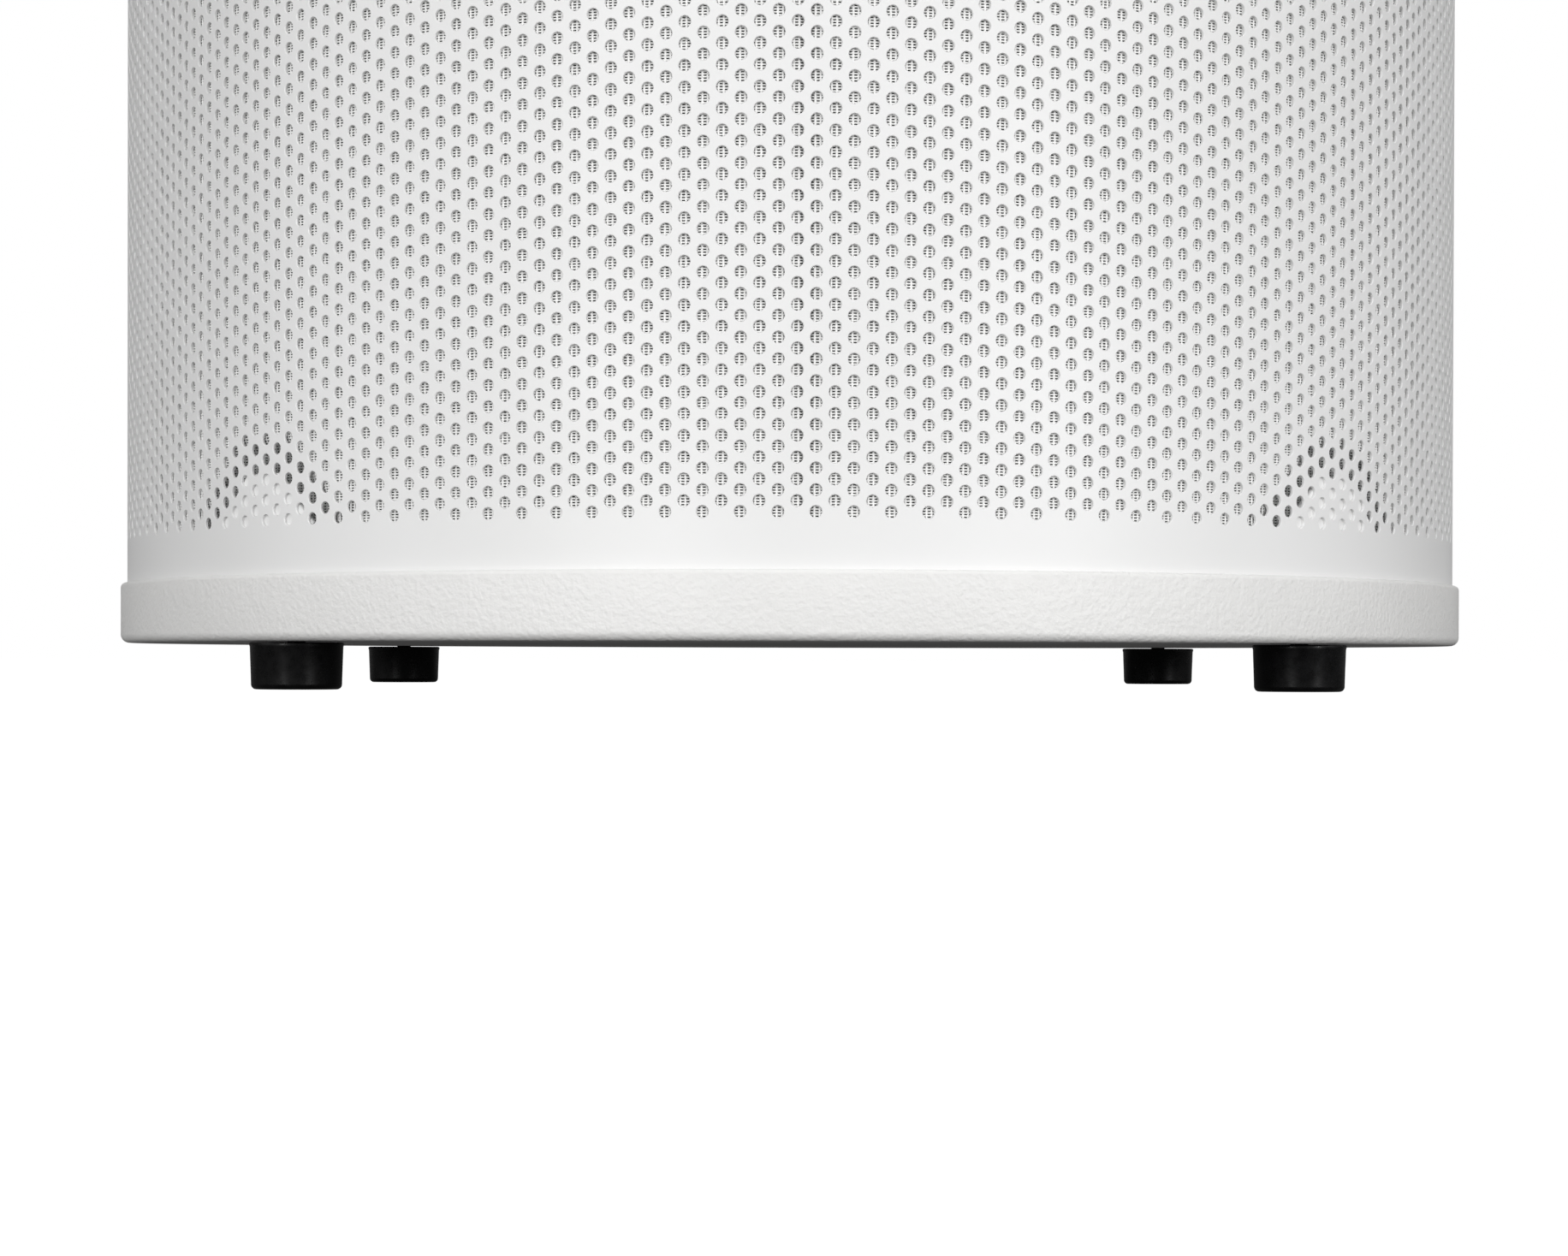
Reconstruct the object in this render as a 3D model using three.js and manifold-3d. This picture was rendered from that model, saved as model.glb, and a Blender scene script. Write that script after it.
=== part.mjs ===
// A cylindrical steel room air purifier, standing on four rubber feet.
//
// The base pan stands on the feet and carries the filters. Four screws, one up through each foot, hold it
// to tabs inside the shell. With them undone, the housing (shell, prefilter, blower and lid) lifts straight
// off the pan, which is how the filters are reached. Air enters through the shell's lower zone and crosses
// the prefilter, the pleated filter and the carbon bed into the core. The blower sends it out through slots
// at the front.
//
// Millimetres. +Z is up, the front faces -Y, and the origin is on the floor under the centre of the base.

import * as THREE from 'three';
import { mergeVertices } from 'three/addons/utils/BufferGeometryUtils.js';
import Module from 'manifold-3d';

const wasm = await Module();
wasm.setup();

// ---------------------------------------------------------------- driving dimensions

const GAP = 0.3; // between pieces that touch
const SHEET = 1.5; // sheet steel of the pans, deck and tabs
const SHELL_SHEET = 1;
const PAN_RADIUS = 190.5; // outside of the base pan and of the lid
const PAN_DEPTH = 16.5;
const PAN_CORNER = 2.5; // outside bend radius
const FOOT_HEIGHT = 12;
const FOOT_RADIUS = 11.7;
const FOOT_OFFSET = 125.5; // of each foot from the middle, along X and along Y
const BODY_TOP = 563; // top face of the lid
const DECK_HEIGHT = 408; // underside of the blower deck

const FILTER_BOTTOM = 20.3;
const FILTER_TOP = 396;
const WRAP_RADIUS = 186.9;
const WRAP_THICKNESS = 6.4;
const PLEAT_OUTER = 164;
const PLEAT_INNER = 141;
const PLEAT_COUNT = 48;
const HEPA_CAP_HEIGHT = 11.7;
const HEPA_CAP_LIP = 3; // of the end caps beyond the pleats, both ways
const CANISTER_RADIUS = 137;
const CORE_RADIUS = 90; // free bore up the middle of the carbon canister
const CANISTER_WALL = 0.8;

const IMPELLER_RADIUS = 130;
const IMPELLER_EYE = 76;
const IMPELLER_LOW = 424;
const IMPELLER_HIGH = 490;
const BLADE_COUNT = 7;

const HOLE_COLUMNS = 272; // upright columns of intake holes round the shell
const SLOT_COUNT = 34; // outlet slots across the front
const SLOT_PITCH_DEG = (4 * 360) / HOLE_COLUMNS; // four columns of holes
const SLOT_WIDTH = 5;
const SLOT_LOW = 456;
const SLOT_HIGH = 526;

const KNOB_Y = -118;
const SWITCH_X = 58;
const INLET_Z = 441;
const HANDLE_Z = 436; // height of the handles' pivots
const HANDLE_X = 194;
const HANDLE_HALF = 66; // from the middle of a handle to the middle of each lug

// ---------------------------------------------------------------- values worked out from those

const SHELL_RADIUS = PAN_RADIUS - SHEET - GAP;
const SHELL_INNER = SHELL_RADIUS - SHELL_SHEET;
const PAN_BOTTOM = FOOT_HEIGHT;
const PAN_FLOOR = PAN_BOTTOM + SHEET;
const SHELL_BOTTOM = PAN_FLOOR + SHEET;
const LID_CEILING = BODY_TOP - SHEET;
const DECK_TOP = DECK_HEIGHT + SHEET;
const FOOT_CIRCLE = FOOT_OFFSET * Math.SQRT2;

const ROUND = 48; // facets of the large circles
const MEDIUM = 32;
const SMALL = 24;
const FEW = 16;
const TINY = 10;
const DEG = Math.PI / 180;

// The four corners, as an angle from +X and a name.
const CORNERS = [
  { name: 'front_left', angle: 225 },
  { name: 'front_right', angle: 315 },
  { name: 'rear_right', angle: 45 },
  { name: 'rear_left', angle: 135 },
];

// ---------------------------------------------------------------- materials

const paint = (color, roughness, metalness = 0) =>
  new THREE.MeshStandardMaterial({ color, roughness, metalness });
const whiteShell = paint(0xf1f1f0, 0.45);
const whiteTexture = paint(0xeeeeec, 0.6);
const rubber = paint(0x121212, 0.75);
const blackPlastic = paint(0x1a1a1b, 0.5);
const zinc = paint(0xb9bcbf, 0.35, 0.9);
const aluminium = paint(0xc9cbcc, 0.4, 0.9);
const foam = paint(0x3a3b3d, 0.95);
const netting = paint(0xe9eae8, 0.9);
const filterPaper = paint(0xf2efe6, 0.95);
const urethane = paint(0x2b2d30, 0.8);
const carbon = paint(0x17181a, 0.9);
const greyPlastic = paint(0x8b8e90, 0.55);

// ---------------------------------------------------------------- geometry helpers

// A closed manifold-3d solid of a three.js geometry.
function toSolid(geometry) {
  const bare = geometry.clone();
  bare.deleteAttribute('normal');
  bare.deleteAttribute('uv');
  const merged = mergeVertices(bare, 1e-4);
  const corners = merged.index.array;
  const triVerts = [];
  for (let i = 0; i < corners.length; i += 3) {
    const [a, b, c] = corners.slice(i, i + 3);
    if (a !== b && b !== c && c !== a) triVerts.push(a, b, c);
  }
  const vertProperties = merged.attributes.position.array;
  const mesh = new wasm.Mesh({ numProp: 3, vertProperties, triVerts: new Uint32Array(triVerts) });
  return new wasm.Manifold(mesh);
}

// The three.js geometry of a manifold-3d solid, with flat shading.
function toGeometry(solid) {
  const mesh = solid.getMesh();
  const geometry = new THREE.BufferGeometry();
  geometry.setAttribute('position', new THREE.BufferAttribute(new Float32Array(mesh.vertProperties), 3));
  geometry.setIndex(new THREE.BufferAttribute(new Uint32Array(mesh.triVerts), 1));
  const flat = geometry.toNonIndexed();
  flat.computeVertexNormals();
  return flat;
}

// A profile of [radius, height] pairs turned about Z. A profile that starts and ends on the axis is solid
// there, and any other is closed into a ring.
function turned(profile, segments) {
  const points = profile.map(([r, z]) => new THREE.Vector2(r, z));
  const first = points[0];
  const last = points[points.length - 1];
  const onAxis = first.x === 0 && last.x === 0;
  if (!onAxis) points.push(first.clone());
  // LatheGeometry faces outwards when the profile runs anticlockwise in (radius, height).
  const area = points.reduce((sum, p, i) => {
    const q = points[(i + 1) % points.length];
    return sum + p.x * q.y - q.x * p.y;
  }, 0);
  if (area < 0) points.reverse();
  return new THREE.LatheGeometry(points, segments).rotateX(Math.PI / 2);
}

const ring = (inner, outer, low, high, segments) =>
  turned([[inner, low], [outer, low], [outer, high], [inner, high]], segments);

const disc = (radius, low, high, segments) =>
  turned([[0, low], [radius, low], [radius, high], [0, high]], segments);

function box(x0, x1, y0, y1, z0, z1) {
  const geometry = new THREE.BoxGeometry(x1 - x0, y1 - y0, z1 - z0);
  return geometry.translate((x0 + x1) / 2, (y0 + y1) / 2, (z0 + z1) / 2);
}

// A shape in X and Y, pushed up from low to high.
function raised(shape, low, high, curveSegments = 8) {
  const settings = { depth: high - low, bevelEnabled: false, curveSegments };
  return new THREE.ExtrudeGeometry(shape, settings).translate(0, 0, low);
}

const turnedBy = (geometry, degrees) => geometry.rotateZ(degrees * DEG);

const cut = (geometry, ...tools) =>
  toGeometry(tools.reduce((solid, tool) => solid.subtract(toSolid(tool)), toSolid(geometry)));

const join = (geometry, ...others) =>
  toGeometry(others.reduce((solid, other) => solid.add(toSolid(other)), toSolid(geometry)));

// A curved upright plate between two radii, centred on angle 0 and standing on height 0. Each stop is a
// distance along the arc from the plate's middle and the plate's height there.
function curvedPlate(inner, outer, stops) {
  const position = [];
  const index = [];
  for (const [along, height] of stops) {
    const angle = along / outer;
    for (const [radius, z] of [[inner, 0], [outer, 0], [outer, height], [inner, height]]) {
      position.push(radius * Math.cos(angle), radius * Math.sin(angle), z);
    }
  }
  for (let i = 0; i < stops.length - 1; i++) {
    for (let side = 0; side < 4; side++) {
      const a = 4 * i + side;
      const b = 4 * i + ((side + 1) % 4);
      index.push(a, a + 4, b, b, a + 4, b + 4);
    }
  }
  const end = 4 * (stops.length - 1);
  index.push(0, 1, 2, 0, 2, 3);
  index.push(end, end + 2, end + 1, end, end + 3, end + 2);
  const geometry = new THREE.BufferGeometry();
  geometry.setAttribute('position', new THREE.Float32BufferAttribute(position, 3));
  geometry.setIndex(index);
  return geometry;
}

// A round bar along a path of points, with smooth bends.
function bar(points, radius, steps, sides = 8) {
  const section = new THREE.Shape();
  for (let i = 0; i < sides; i++) {
    const angle = (2 * Math.PI * i) / sides;
    const corner = [radius * Math.cos(angle), radius * Math.sin(angle)];
    if (i === 0) section.moveTo(...corner);
    else section.lineTo(...corner);
  }
  section.closePath();
  const path = new THREE.CatmullRomCurve3(points.map((p) => new THREE.Vector3(...p)), false, 'centripetal');
  return new THREE.ExtrudeGeometry(section, { steps, extrudePath: path, bevelEnabled: false });
}

// ---------------------------------------------------------------- assembly

const purifier = new THREE.Group();

function add(name, geometry, material) {
  const mesh = new THREE.Mesh(geometry, material);
  mesh.name = name;
  purifier.add(mesh);
}

// ---------------------------------------------------------------- base pan, tabs and feet

// The section of a pan with its floor at height 0 and its rim standing up. The lip's outer edge is eased.
const LIP = 1.2;
function panSection() {
  const rim = PAN_RADIUS - SHEET;
  const bend = PAN_CORNER * (1 - Math.SQRT1_2);
  return [
    [0, 0],
    [PAN_RADIUS - PAN_CORNER, 0],
    [PAN_RADIUS - bend, bend],
    [PAN_RADIUS, PAN_CORNER],
    [PAN_RADIUS, PAN_DEPTH - LIP],
    [PAN_RADIUS - LIP, PAN_DEPTH],
    [rim, PAN_DEPTH],
    [rim, SHEET],
    [0, SHEET],
  ];
}

const pan = turned(panSection(), ROUND);
const SCREW_HOLE = 3;
const footHoles = CORNERS.map(({ angle }) =>
  turnedBy(disc(SCREW_HOLE, -1, PAN_DEPTH, TINY).translate(FOOT_CIRCLE, 0, 0), angle),
);
add('base_pan', cut(pan, ...footHoles).translate(0, 0, PAN_BOTTOM), whiteTexture);

// A tab is a sheet-metal angle inside the shell: a tongue with chamfered corners, welded to the shell, and a
// foot plate with a weld nut. It stands on height 0.
const TONGUE_OUTER = 187;
const TONGUE_HALF_WIDTH = 19;
const TONGUE_TOP_HALF_WIDTH = 6.5;
const PLATE_REACH = 170; // how far in the foot plate comes
const PLATE_HALF_WIDTH = 13;
const NUT_RADIUS = 5.5;
const NUT_HEIGHT = 3.5;

function cornerTab(height) {
  const chamfer = TONGUE_HALF_WIDTH - TONGUE_TOP_HALF_WIDTH;
  const rise = [[TONGUE_TOP_HALF_WIDTH, height], [TONGUE_HALF_WIDTH, height - chamfer]];
  const fall = rise.map(([along, z]) => [-along, z]).reverse();
  const tongue = curvedPlate(TONGUE_OUTER - SHEET, TONGUE_OUTER, [...fall, [0, height], ...rise]);
  const plate = box(PLATE_REACH, TONGUE_OUTER - 0.5, -PLATE_HALF_WIDTH, PLATE_HALF_WIDTH, 0, SHEET);
  const nut = disc(NUT_RADIUS, SHEET / 2, SHEET + NUT_HEIGHT, 6).translate(FOOT_CIRCLE, 0, 0);
  const hole = disc(SCREW_HOLE, -1, SHEET + NUT_HEIGHT + 1, TINY).translate(FOOT_CIRCLE, 0, 0);
  return cut(join(tongue, plate, nut), hole);
}
const TAB_LOW = PAN_FLOOR + GAP;
const TAB_HEIGHT = 39.5;

// A foot is a slightly tapered rubber buffer, with a recess that hides the screw's head.
const FOOT_BORE = 2.8;
const FOOT_RECESS = 6; // radius and depth of the recess
const FOOT_TAPER = 0.5;
function foot() {
  const profile = [
    [FOOT_BORE, FOOT_RECESS],
    [FOOT_RECESS, FOOT_RECESS],
    [FOOT_RECESS, 0],
    [FOOT_RADIUS - FOOT_TAPER - 0.9, 0],
    [FOOT_RADIUS - FOOT_TAPER, 1],
    [FOOT_RADIUS, PAN_BOTTOM - GAP],
    [FOOT_BORE, PAN_BOTTOM - GAP],
  ];
  return turned(profile, FEW);
}

// A pan-head screw on the Z axis, pointing up from the outer face of its head, which is at height 0.
const SCREW_HEAD_RADIUS = 4.6;
const SCREW_HEAD_HEIGHT = 2.8;
const SCREW_SHANK_RADIUS = 2.4;
const FOOT_SCREW_LENGTH = 17;
const LID_SCREW_LENGTH = 16;

function screw(length) {
  const profile = [
    [0, 0],
    [SCREW_HEAD_RADIUS, 0],
    [SCREW_HEAD_RADIUS, SCREW_HEAD_HEIGHT],
    [SCREW_SHANK_RADIUS, SCREW_HEAD_HEIGHT],
    [SCREW_SHANK_RADIUS, length],
    [0, length],
  ];
  return turned(profile, TINY);
}

// The screw's head bears on the floor of the foot's recess.
const footScrewLow = FOOT_RECESS - GAP - SCREW_HEAD_HEIGHT;
for (const { name, angle } of CORNERS) {
  const standing = cornerTab(TAB_HEIGHT).translate(0, 0, TAB_LOW);
  const upwards = screw(FOOT_SCREW_LENGTH).translate(FOOT_CIRCLE, 0, footScrewLow);
  add(`shell_tab_${name}`, turnedBy(standing, angle), whiteShell);
  add(`foot_${name}`, turnedBy(foot().translate(FOOT_CIRCLE, 0, 0), angle), rubber);
  add(`foot_screw_${name}`, turnedBy(upwards, angle), zinc);
}

// ---------------------------------------------------------------- filters, standing on the base pan

const baseGasket = ring(CORE_RADIUS - 5, PLEAT_OUTER - 9, PAN_FLOOR + GAP, FILTER_BOTTOM - GAP, MEDIUM);
add('base_gasket', baseGasket, foam);

const capTop = FILTER_BOTTOM + HEPA_CAP_HEIGHT;
const hepaCap = (low, high) =>
  ring(PLEAT_INNER - HEPA_CAP_LIP, PLEAT_OUTER + HEPA_CAP_LIP, low, high, MEDIUM);
add('hepa_bottom_cap', hepaCap(FILTER_BOTTOM, capTop), urethane);
add('hepa_top_cap', hepaCap(FILTER_TOP - HEPA_CAP_HEIGHT, FILTER_TOP), urethane);

// The pleats are one folded sheet, closed into a star between the two end caps.
function pleats() {
  const thickness = 2.4;
  const star = (outer, inner, path) => {
    for (let i = 0; i < 2 * PLEAT_COUNT; i++) {
      const angle = (Math.PI * i) / PLEAT_COUNT;
      const radius = i % 2 ? inner : outer;
      const corner = [radius * Math.cos(angle), radius * Math.sin(angle)];
      if (i === 0) path.moveTo(...corner);
      else path.lineTo(...corner);
    }
    path.closePath();
    return path;
  };
  const shape = star(PLEAT_OUTER, PLEAT_INNER + thickness, new THREE.Shape());
  shape.holes.push(star(PLEAT_OUTER - thickness, PLEAT_INNER, new THREE.Path()));
  return raised(shape, capTop + GAP, FILTER_TOP - HEPA_CAP_HEIGHT - GAP);
}
add('hepa_pleats', pleats(), filterPaper);

// The prefilter is a blanket that stands against the inside of the shell, and is pressed back round each tab.
const POCKET_HALF_WIDTH = 25;
function prefilter() {
  const low = 22;
  const wrap = ring(WRAP_RADIUS - WRAP_THICKNESS, WRAP_RADIUS, low, FILTER_TOP, ROUND);
  const pocketFloor = TONGUE_OUTER - SHEET - 3 * GAP;
  const pocketHeight = TAB_LOW + TAB_HEIGHT + 7;
  const stops = [-POCKET_HALF_WIDTH, 0, POCKET_HALF_WIDTH].map((along) => [along, pocketHeight]);
  const pocket = () => curvedPlate(pocketFloor, WRAP_RADIUS + 10, stops);
  return cut(wrap, ...CORNERS.map(({ angle }) => turnedBy(pocket(), angle)));
}
add('prefilter_wrap', prefilter(), netting);

// The canister stands inside the pleats: two tubular walls between two end plates, with the carbon between
// the walls. Its strap crosses the top of the core.
const CANISTER_SHEET = 2; // of the end plates and the strap
const canisterTop = FILTER_TOP - CANISTER_SHEET;
const bedLow = FILTER_BOTTOM + CANISTER_SHEET + 2 * GAP;
const bedHigh = canisterTop - CANISTER_SHEET - 2 * GAP;
const canisterRing = (inner, outer, low, high) => ring(inner, outer, low, high, MEDIUM);
const floorPlate = disc(CANISTER_RADIUS, FILTER_BOTTOM, FILTER_BOTTOM + CANISTER_SHEET, MEDIUM);
const bedInner = CORE_RADIUS + CANISTER_WALL;
const bedOuter = CANISTER_RADIUS - CANISTER_WALL;
const BED_GAP = 0.8; // wider, because the walls and the bed are faceted
add('canister_bottom_cap', floorPlate, zinc);
add('canister_outer_wall', canisterRing(bedOuter, CANISTER_RADIUS, bedLow, bedHigh), zinc);
add('canister_inner_wall', canisterRing(CORE_RADIUS, bedInner, bedLow, bedHigh), zinc);
add('carbon_bed', canisterRing(bedInner + BED_GAP, bedOuter - BED_GAP, bedLow, bedHigh), carbon);
const topPlate = canisterRing(CORE_RADIUS, CANISTER_RADIUS, canisterTop - CANISTER_SHEET, canisterTop);
add('canister_top_cap', topPlate, zinc);

const STRAP_HALF_LENGTH = 110;
const STRAP_HALF_WIDTH = 10;
const strapLow = canisterTop + GAP;
const strapHigh = strapLow + CANISTER_SHEET;
const strapX = [-STRAP_HALF_LENGTH, STRAP_HALF_LENGTH];
const strap = box(...strapX, -STRAP_HALF_WIDTH, STRAP_HALF_WIDTH, strapLow, strapHigh);
add('canister_handle', strap, zinc);
const topGasket = ring(CANISTER_RADIUS - 25, PLEAT_OUTER - 1, FILTER_TOP + GAP, DECK_HEIGHT - GAP, MEDIUM);
add('top_gasket', topGasket, foam);

// ---------------------------------------------------------------- shell

// One rolled sheet. The small round intake holes of its lower zone are left out of this solid, and the
// outlet slots are cut.
function shell() {
  const tube = ring(SHELL_INNER, SHELL_RADIUS, SHELL_BOTTOM, LID_CEILING - GAP, ROUND);
  const half = SLOT_WIDTH / 2;
  const slots = [];
  for (let i = 0; i < SLOT_COUNT; i++) {
    const angle = 270 + (i - (SLOT_COUNT - 1) / 2) * SLOT_PITCH_DEG;
    slots.push(turnedBy(box(SHELL_INNER - 5, SHELL_RADIUS + 5, -half, half, SLOT_LOW, SLOT_HIGH), angle));
  }
  const inletHole = box(-14.5, 14.5, SHELL_INNER - 8, SHELL_RADIUS + 8, INLET_Z - 11.5, INLET_Z + 11.5);
  return cut(tube, ...slots, inletHole);
}
add('perforated_shell', shell(), whiteShell);

// ---------------------------------------------------------------- blower

const deckRadius = SHELL_INNER - 0.5;
const DECK_HOLE = 85;
add('blower_deck', ring(DECK_HOLE, deckRadius, DECK_HEIGHT, DECK_TOP, ROUND), zinc);

// The inlet ring is a spun bell mouth. Its throat reaches just inside the impeller's eye.
function inletRing() {
  const low = DECK_TOP + GAP;
  const high = low + 19;
  const flange = 104;
  const throat = IMPELLER_EYE - 4;
  const profile = [
    [flange, low],
    [flange, low + 1.2],
    [DECK_HOLE + 1, low + 3],
    [throat + 4, low + 9],
    [throat + 1.2, high],
    [throat, high],
    [throat + 2.4, low + 9],
    [DECK_HOLE - 1, low],
  ];
  return turned(profile, MEDIUM);
}
add('inlet_ring', inletRing(), aluminium);

// The wheel has backward-curved blades between a shroud with the eye in it and a back plate.
function impeller() {
  const shroudEdge = 442; // underside of the shroud at its outer edge
  const bladeLow = 434.4;
  const hub = 20;
  const shroudProfile = [
    [IMPELLER_EYE, IMPELLER_LOW],
    [IMPELLER_EYE + 2, IMPELLER_LOW],
    [86, 433],
    [IMPELLER_RADIUS, shroudEdge],
    [IMPELLER_RADIUS, shroudEdge + 2],
    [85, 435],
    [IMPELLER_EYE, IMPELLER_LOW + 2],
  ];
  const shroud = turned(shroudProfile, MEDIUM);
  const back = ring(hub, IMPELLER_RADIUS, IMPELLER_HIGH - 2, IMPELLER_HIGH, MEDIUM);
  const blade = new THREE.Shape();
  blade.moveTo(82, 0);
  blade.quadraticCurveTo(108, 12, IMPELLER_RADIUS - 12, 44);
  blade.lineTo(IMPELLER_RADIUS - 10, 42.5);
  blade.quadraticCurveTo(109.5, 10, 82.6, -1.8);
  blade.closePath();
  const blades = [];
  for (let i = 0; i < BLADE_COUNT; i++) {
    const upright = raised(blade, bladeLow, IMPELLER_HIGH - 1, 5);
    blades.push(turnedBy(upright, (360 / BLADE_COUNT) * i));
  }
  return join(back, shroud, ...blades);
}
add('impeller', impeller(), blackPlastic);

// An external-rotor motor. The rotor is a cup with its shaft in it, and hangs from the wheel's back plate.
// The stator stands in the cup, on a flange that bolts to the bracket.
const CUP_RADIUS = 46;
const CUP_LOW = 446;
const CUP_WALL = 3;
const SHAFT_RADIUS = 4;
const STATOR_TOP = 499.7;
const cupInner = CUP_RADIUS - CUP_WALL;
const cupFloor = CUP_LOW + CUP_WALL;
function rotor() {
  const high = IMPELLER_HIGH - 2 - GAP;
  const shaftTop = STATOR_TOP - 2;
  const profile = [
    [0, CUP_LOW],
    [CUP_RADIUS, CUP_LOW],
    [CUP_RADIUS, high],
    [cupInner, high],
    [cupInner, cupFloor],
    [SHAFT_RADIUS, cupFloor],
    [SHAFT_RADIUS, shaftTop],
    [0, shaftTop],
  ];
  return turned(profile, SMALL);
}
function stator() {
  const bore = SHAFT_RADIUS + 0.5;
  const core = cupInner - 0.8;
  const coreHigh = IMPELLER_HIGH - 6;
  const neck = 15;
  const profile = [
    [bore, cupFloor + 2],
    [core, cupFloor + 2],
    [core, coreHigh],
    [neck, coreHigh],
    [neck, IMPELLER_HIGH + 2],
    [core, IMPELLER_HIGH + 2],
    [core, STATOR_TOP],
    [bore, STATOR_TOP],
  ];
  return turned(profile, SMALL);
}
add('motor_rotor', rotor(), aluminium);
add('motor_stator', stator(), aluminium);

// A welded cross of sheet steel carries the motor on four legs, which stand on the deck outside the wheel.
const LEG_CIRCLE = 152;
const LEG_RADIUS = 5.5;
const BRACKET_LOW = 500;
const BRACKET_TOP = BRACKET_LOW + 2.5;
function motorBracket() {
  const reach = LEG_CIRCLE + 9;
  const halfWidth = 15;
  const arm = () => box(-reach, reach, -halfWidth, halfWidth, BRACKET_LOW, BRACKET_TOP);
  const leg = () => disc(LEG_RADIUS, DECK_TOP + GAP, BRACKET_LOW + 1, TINY).translate(LEG_CIRCLE, 0, 0);
  const legs = CORNERS.map(({ angle }) => turnedBy(leg(), angle));
  const middle = disc(CUP_RADIUS + 14, BRACKET_LOW, BRACKET_TOP, SMALL);
  return join(turnedBy(arm(), 45), turnedBy(arm(), 135), middle, ...legs);
}
add('motor_bracket', motorBracket(), zinc);

const CAPACITOR_Y = 92;
const CAPACITOR_RADIUS = 15;
const CAPACITOR_HALF = 28;
const capacitorZ = BRACKET_TOP + GAP + CAPACITOR_RADIUS;
const capacitor = disc(CAPACITOR_RADIUS, -CAPACITOR_HALF, CAPACITOR_HALF, FEW).rotateY(Math.PI / 2);
add('capacitor', capacitor.translate(0, CAPACITOR_Y, capacitorZ), aluminium);

// ---------------------------------------------------------------- lid, its tabs and screws

const through = [BODY_TOP - 5, BODY_TOP + 5]; // heights that clear the lid's sheet on both sides
const KNOB_HOLE = 5;
const SWITCH_HALF_X = 9; // of the switch's body
const SWITCH_HALF_Y = 12;
const knobHole = disc(KNOB_HOLE, ...through, FEW).translate(0, KNOB_Y, 0);
const switchX = [SWITCH_X - SWITCH_HALF_X - 0.5, SWITCH_X + SWITCH_HALF_X + 0.5];
const switchY = [KNOB_Y - SWITCH_HALF_Y - 0.5, KNOB_Y + SWITCH_HALF_Y + 0.5];
const switchHole = box(...switchX, ...switchY, ...through);
const lid = turned(panSection().map(([r, z]) => [r, BODY_TOP - z]), ROUND);
const lidHoles = CORNERS.map(({ angle }) =>
  turnedBy(disc(SCREW_HOLE, ...through, TINY).translate(FOOT_CIRCLE, 0, 0), angle),
);
add('top_lid', cut(lid, knobHole, switchHole, ...lidHoles), whiteTexture);

// The lid is held like the pan, by shorter tabs that hang from its underside and screws down into them.
const LID_TAB_HEIGHT = 22;
const lidScrewTop = BODY_TOP + GAP + SCREW_HEAD_HEIGHT;
for (const { name, angle } of CORNERS) {
  const hanging = cornerTab(LID_TAB_HEIGHT).rotateX(Math.PI).translate(0, 0, LID_CEILING - GAP);
  const downwards = screw(LID_SCREW_LENGTH).rotateX(Math.PI).translate(FOOT_CIRCLE, 0, lidScrewTop);
  add(`lid_tab_${name}`, turnedBy(hanging, angle), whiteShell);
  add(`lid_screw_${name}`, turnedBy(downwards, angle), zinc);
}

// ---------------------------------------------------------------- controls

const DIAL_LOW = BODY_TOP + GAP;
const DIAL_TOP = DIAL_LOW + 1.2;
const DIAL_RADIUS = 37;
const dial = ring(KNOB_HOLE + 2, DIAL_RADIUS, DIAL_LOW, DIAL_TOP, MEDIUM).translate(0, KNOB_Y, 0);
add('dial_plate', dial, greyPlastic);

const CONTROL_HALF_X = 32;
const CONTROL_HALF_Y = 26;
const CONTROL_LOW = LID_CEILING - 28;
const CONTROL_HIGH = LID_CEILING - 4;
const CONTROL_REAR = KNOB_Y + CONTROL_HALF_Y;
const controlX = [-CONTROL_HALF_X, CONTROL_HALF_X];
const controlBox = box(...controlX, KNOB_Y - CONTROL_HALF_Y, CONTROL_REAR, CONTROL_LOW, CONTROL_HIGH);
add('control_box', controlBox, blackPlastic);

// The knob is drawn at its off position, where its pointer faces front left.
const KNOB_LOW = DIAL_TOP + 2 * GAP;
const KNOB_HIGH = KNOB_LOW + 19;
const KNOB_SKIRT = 19;
const KNOB_RADIUS = 15.5;
const SHAFT_LOW = CONTROL_HIGH + 0.4;
const SHAFT_TOP = KNOB_HIGH - 5.5;
const KNOB_SHAFT_RADIUS = 3;
function knob() {
  const capLow = KNOB_LOW + 3.5;
  const capProfile = [
    [0, capLow],
    [KNOB_RADIUS, capLow],
    [KNOB_RADIUS - 1, KNOB_HIGH - 1],
    [KNOB_RADIUS - 2, KNOB_HIGH],
    [0, KNOB_HIGH],
  ];
  const skirt = disc(KNOB_SKIRT, KNOB_LOW, KNOB_LOW + 4, SMALL);
  const pointer = turnedBy(box(9, KNOB_SKIRT - 1, -1.5, 1.5, capLow, KNOB_HIGH - 4), 225);
  const bore = disc(KNOB_SHAFT_RADIUS + 0.4, KNOB_LOW - 1, SHAFT_TOP + 0.5, TINY);
  return cut(join(skirt, turned(capProfile, SMALL), pointer), bore).translate(0, KNOB_Y, 0);
}
add('speed_knob', knob(), blackPlastic);
add('knob_shaft', disc(KNOB_SHAFT_RADIUS, SHAFT_LOW, SHAFT_TOP, TINY).translate(0, KNOB_Y, 0), zinc);

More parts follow.
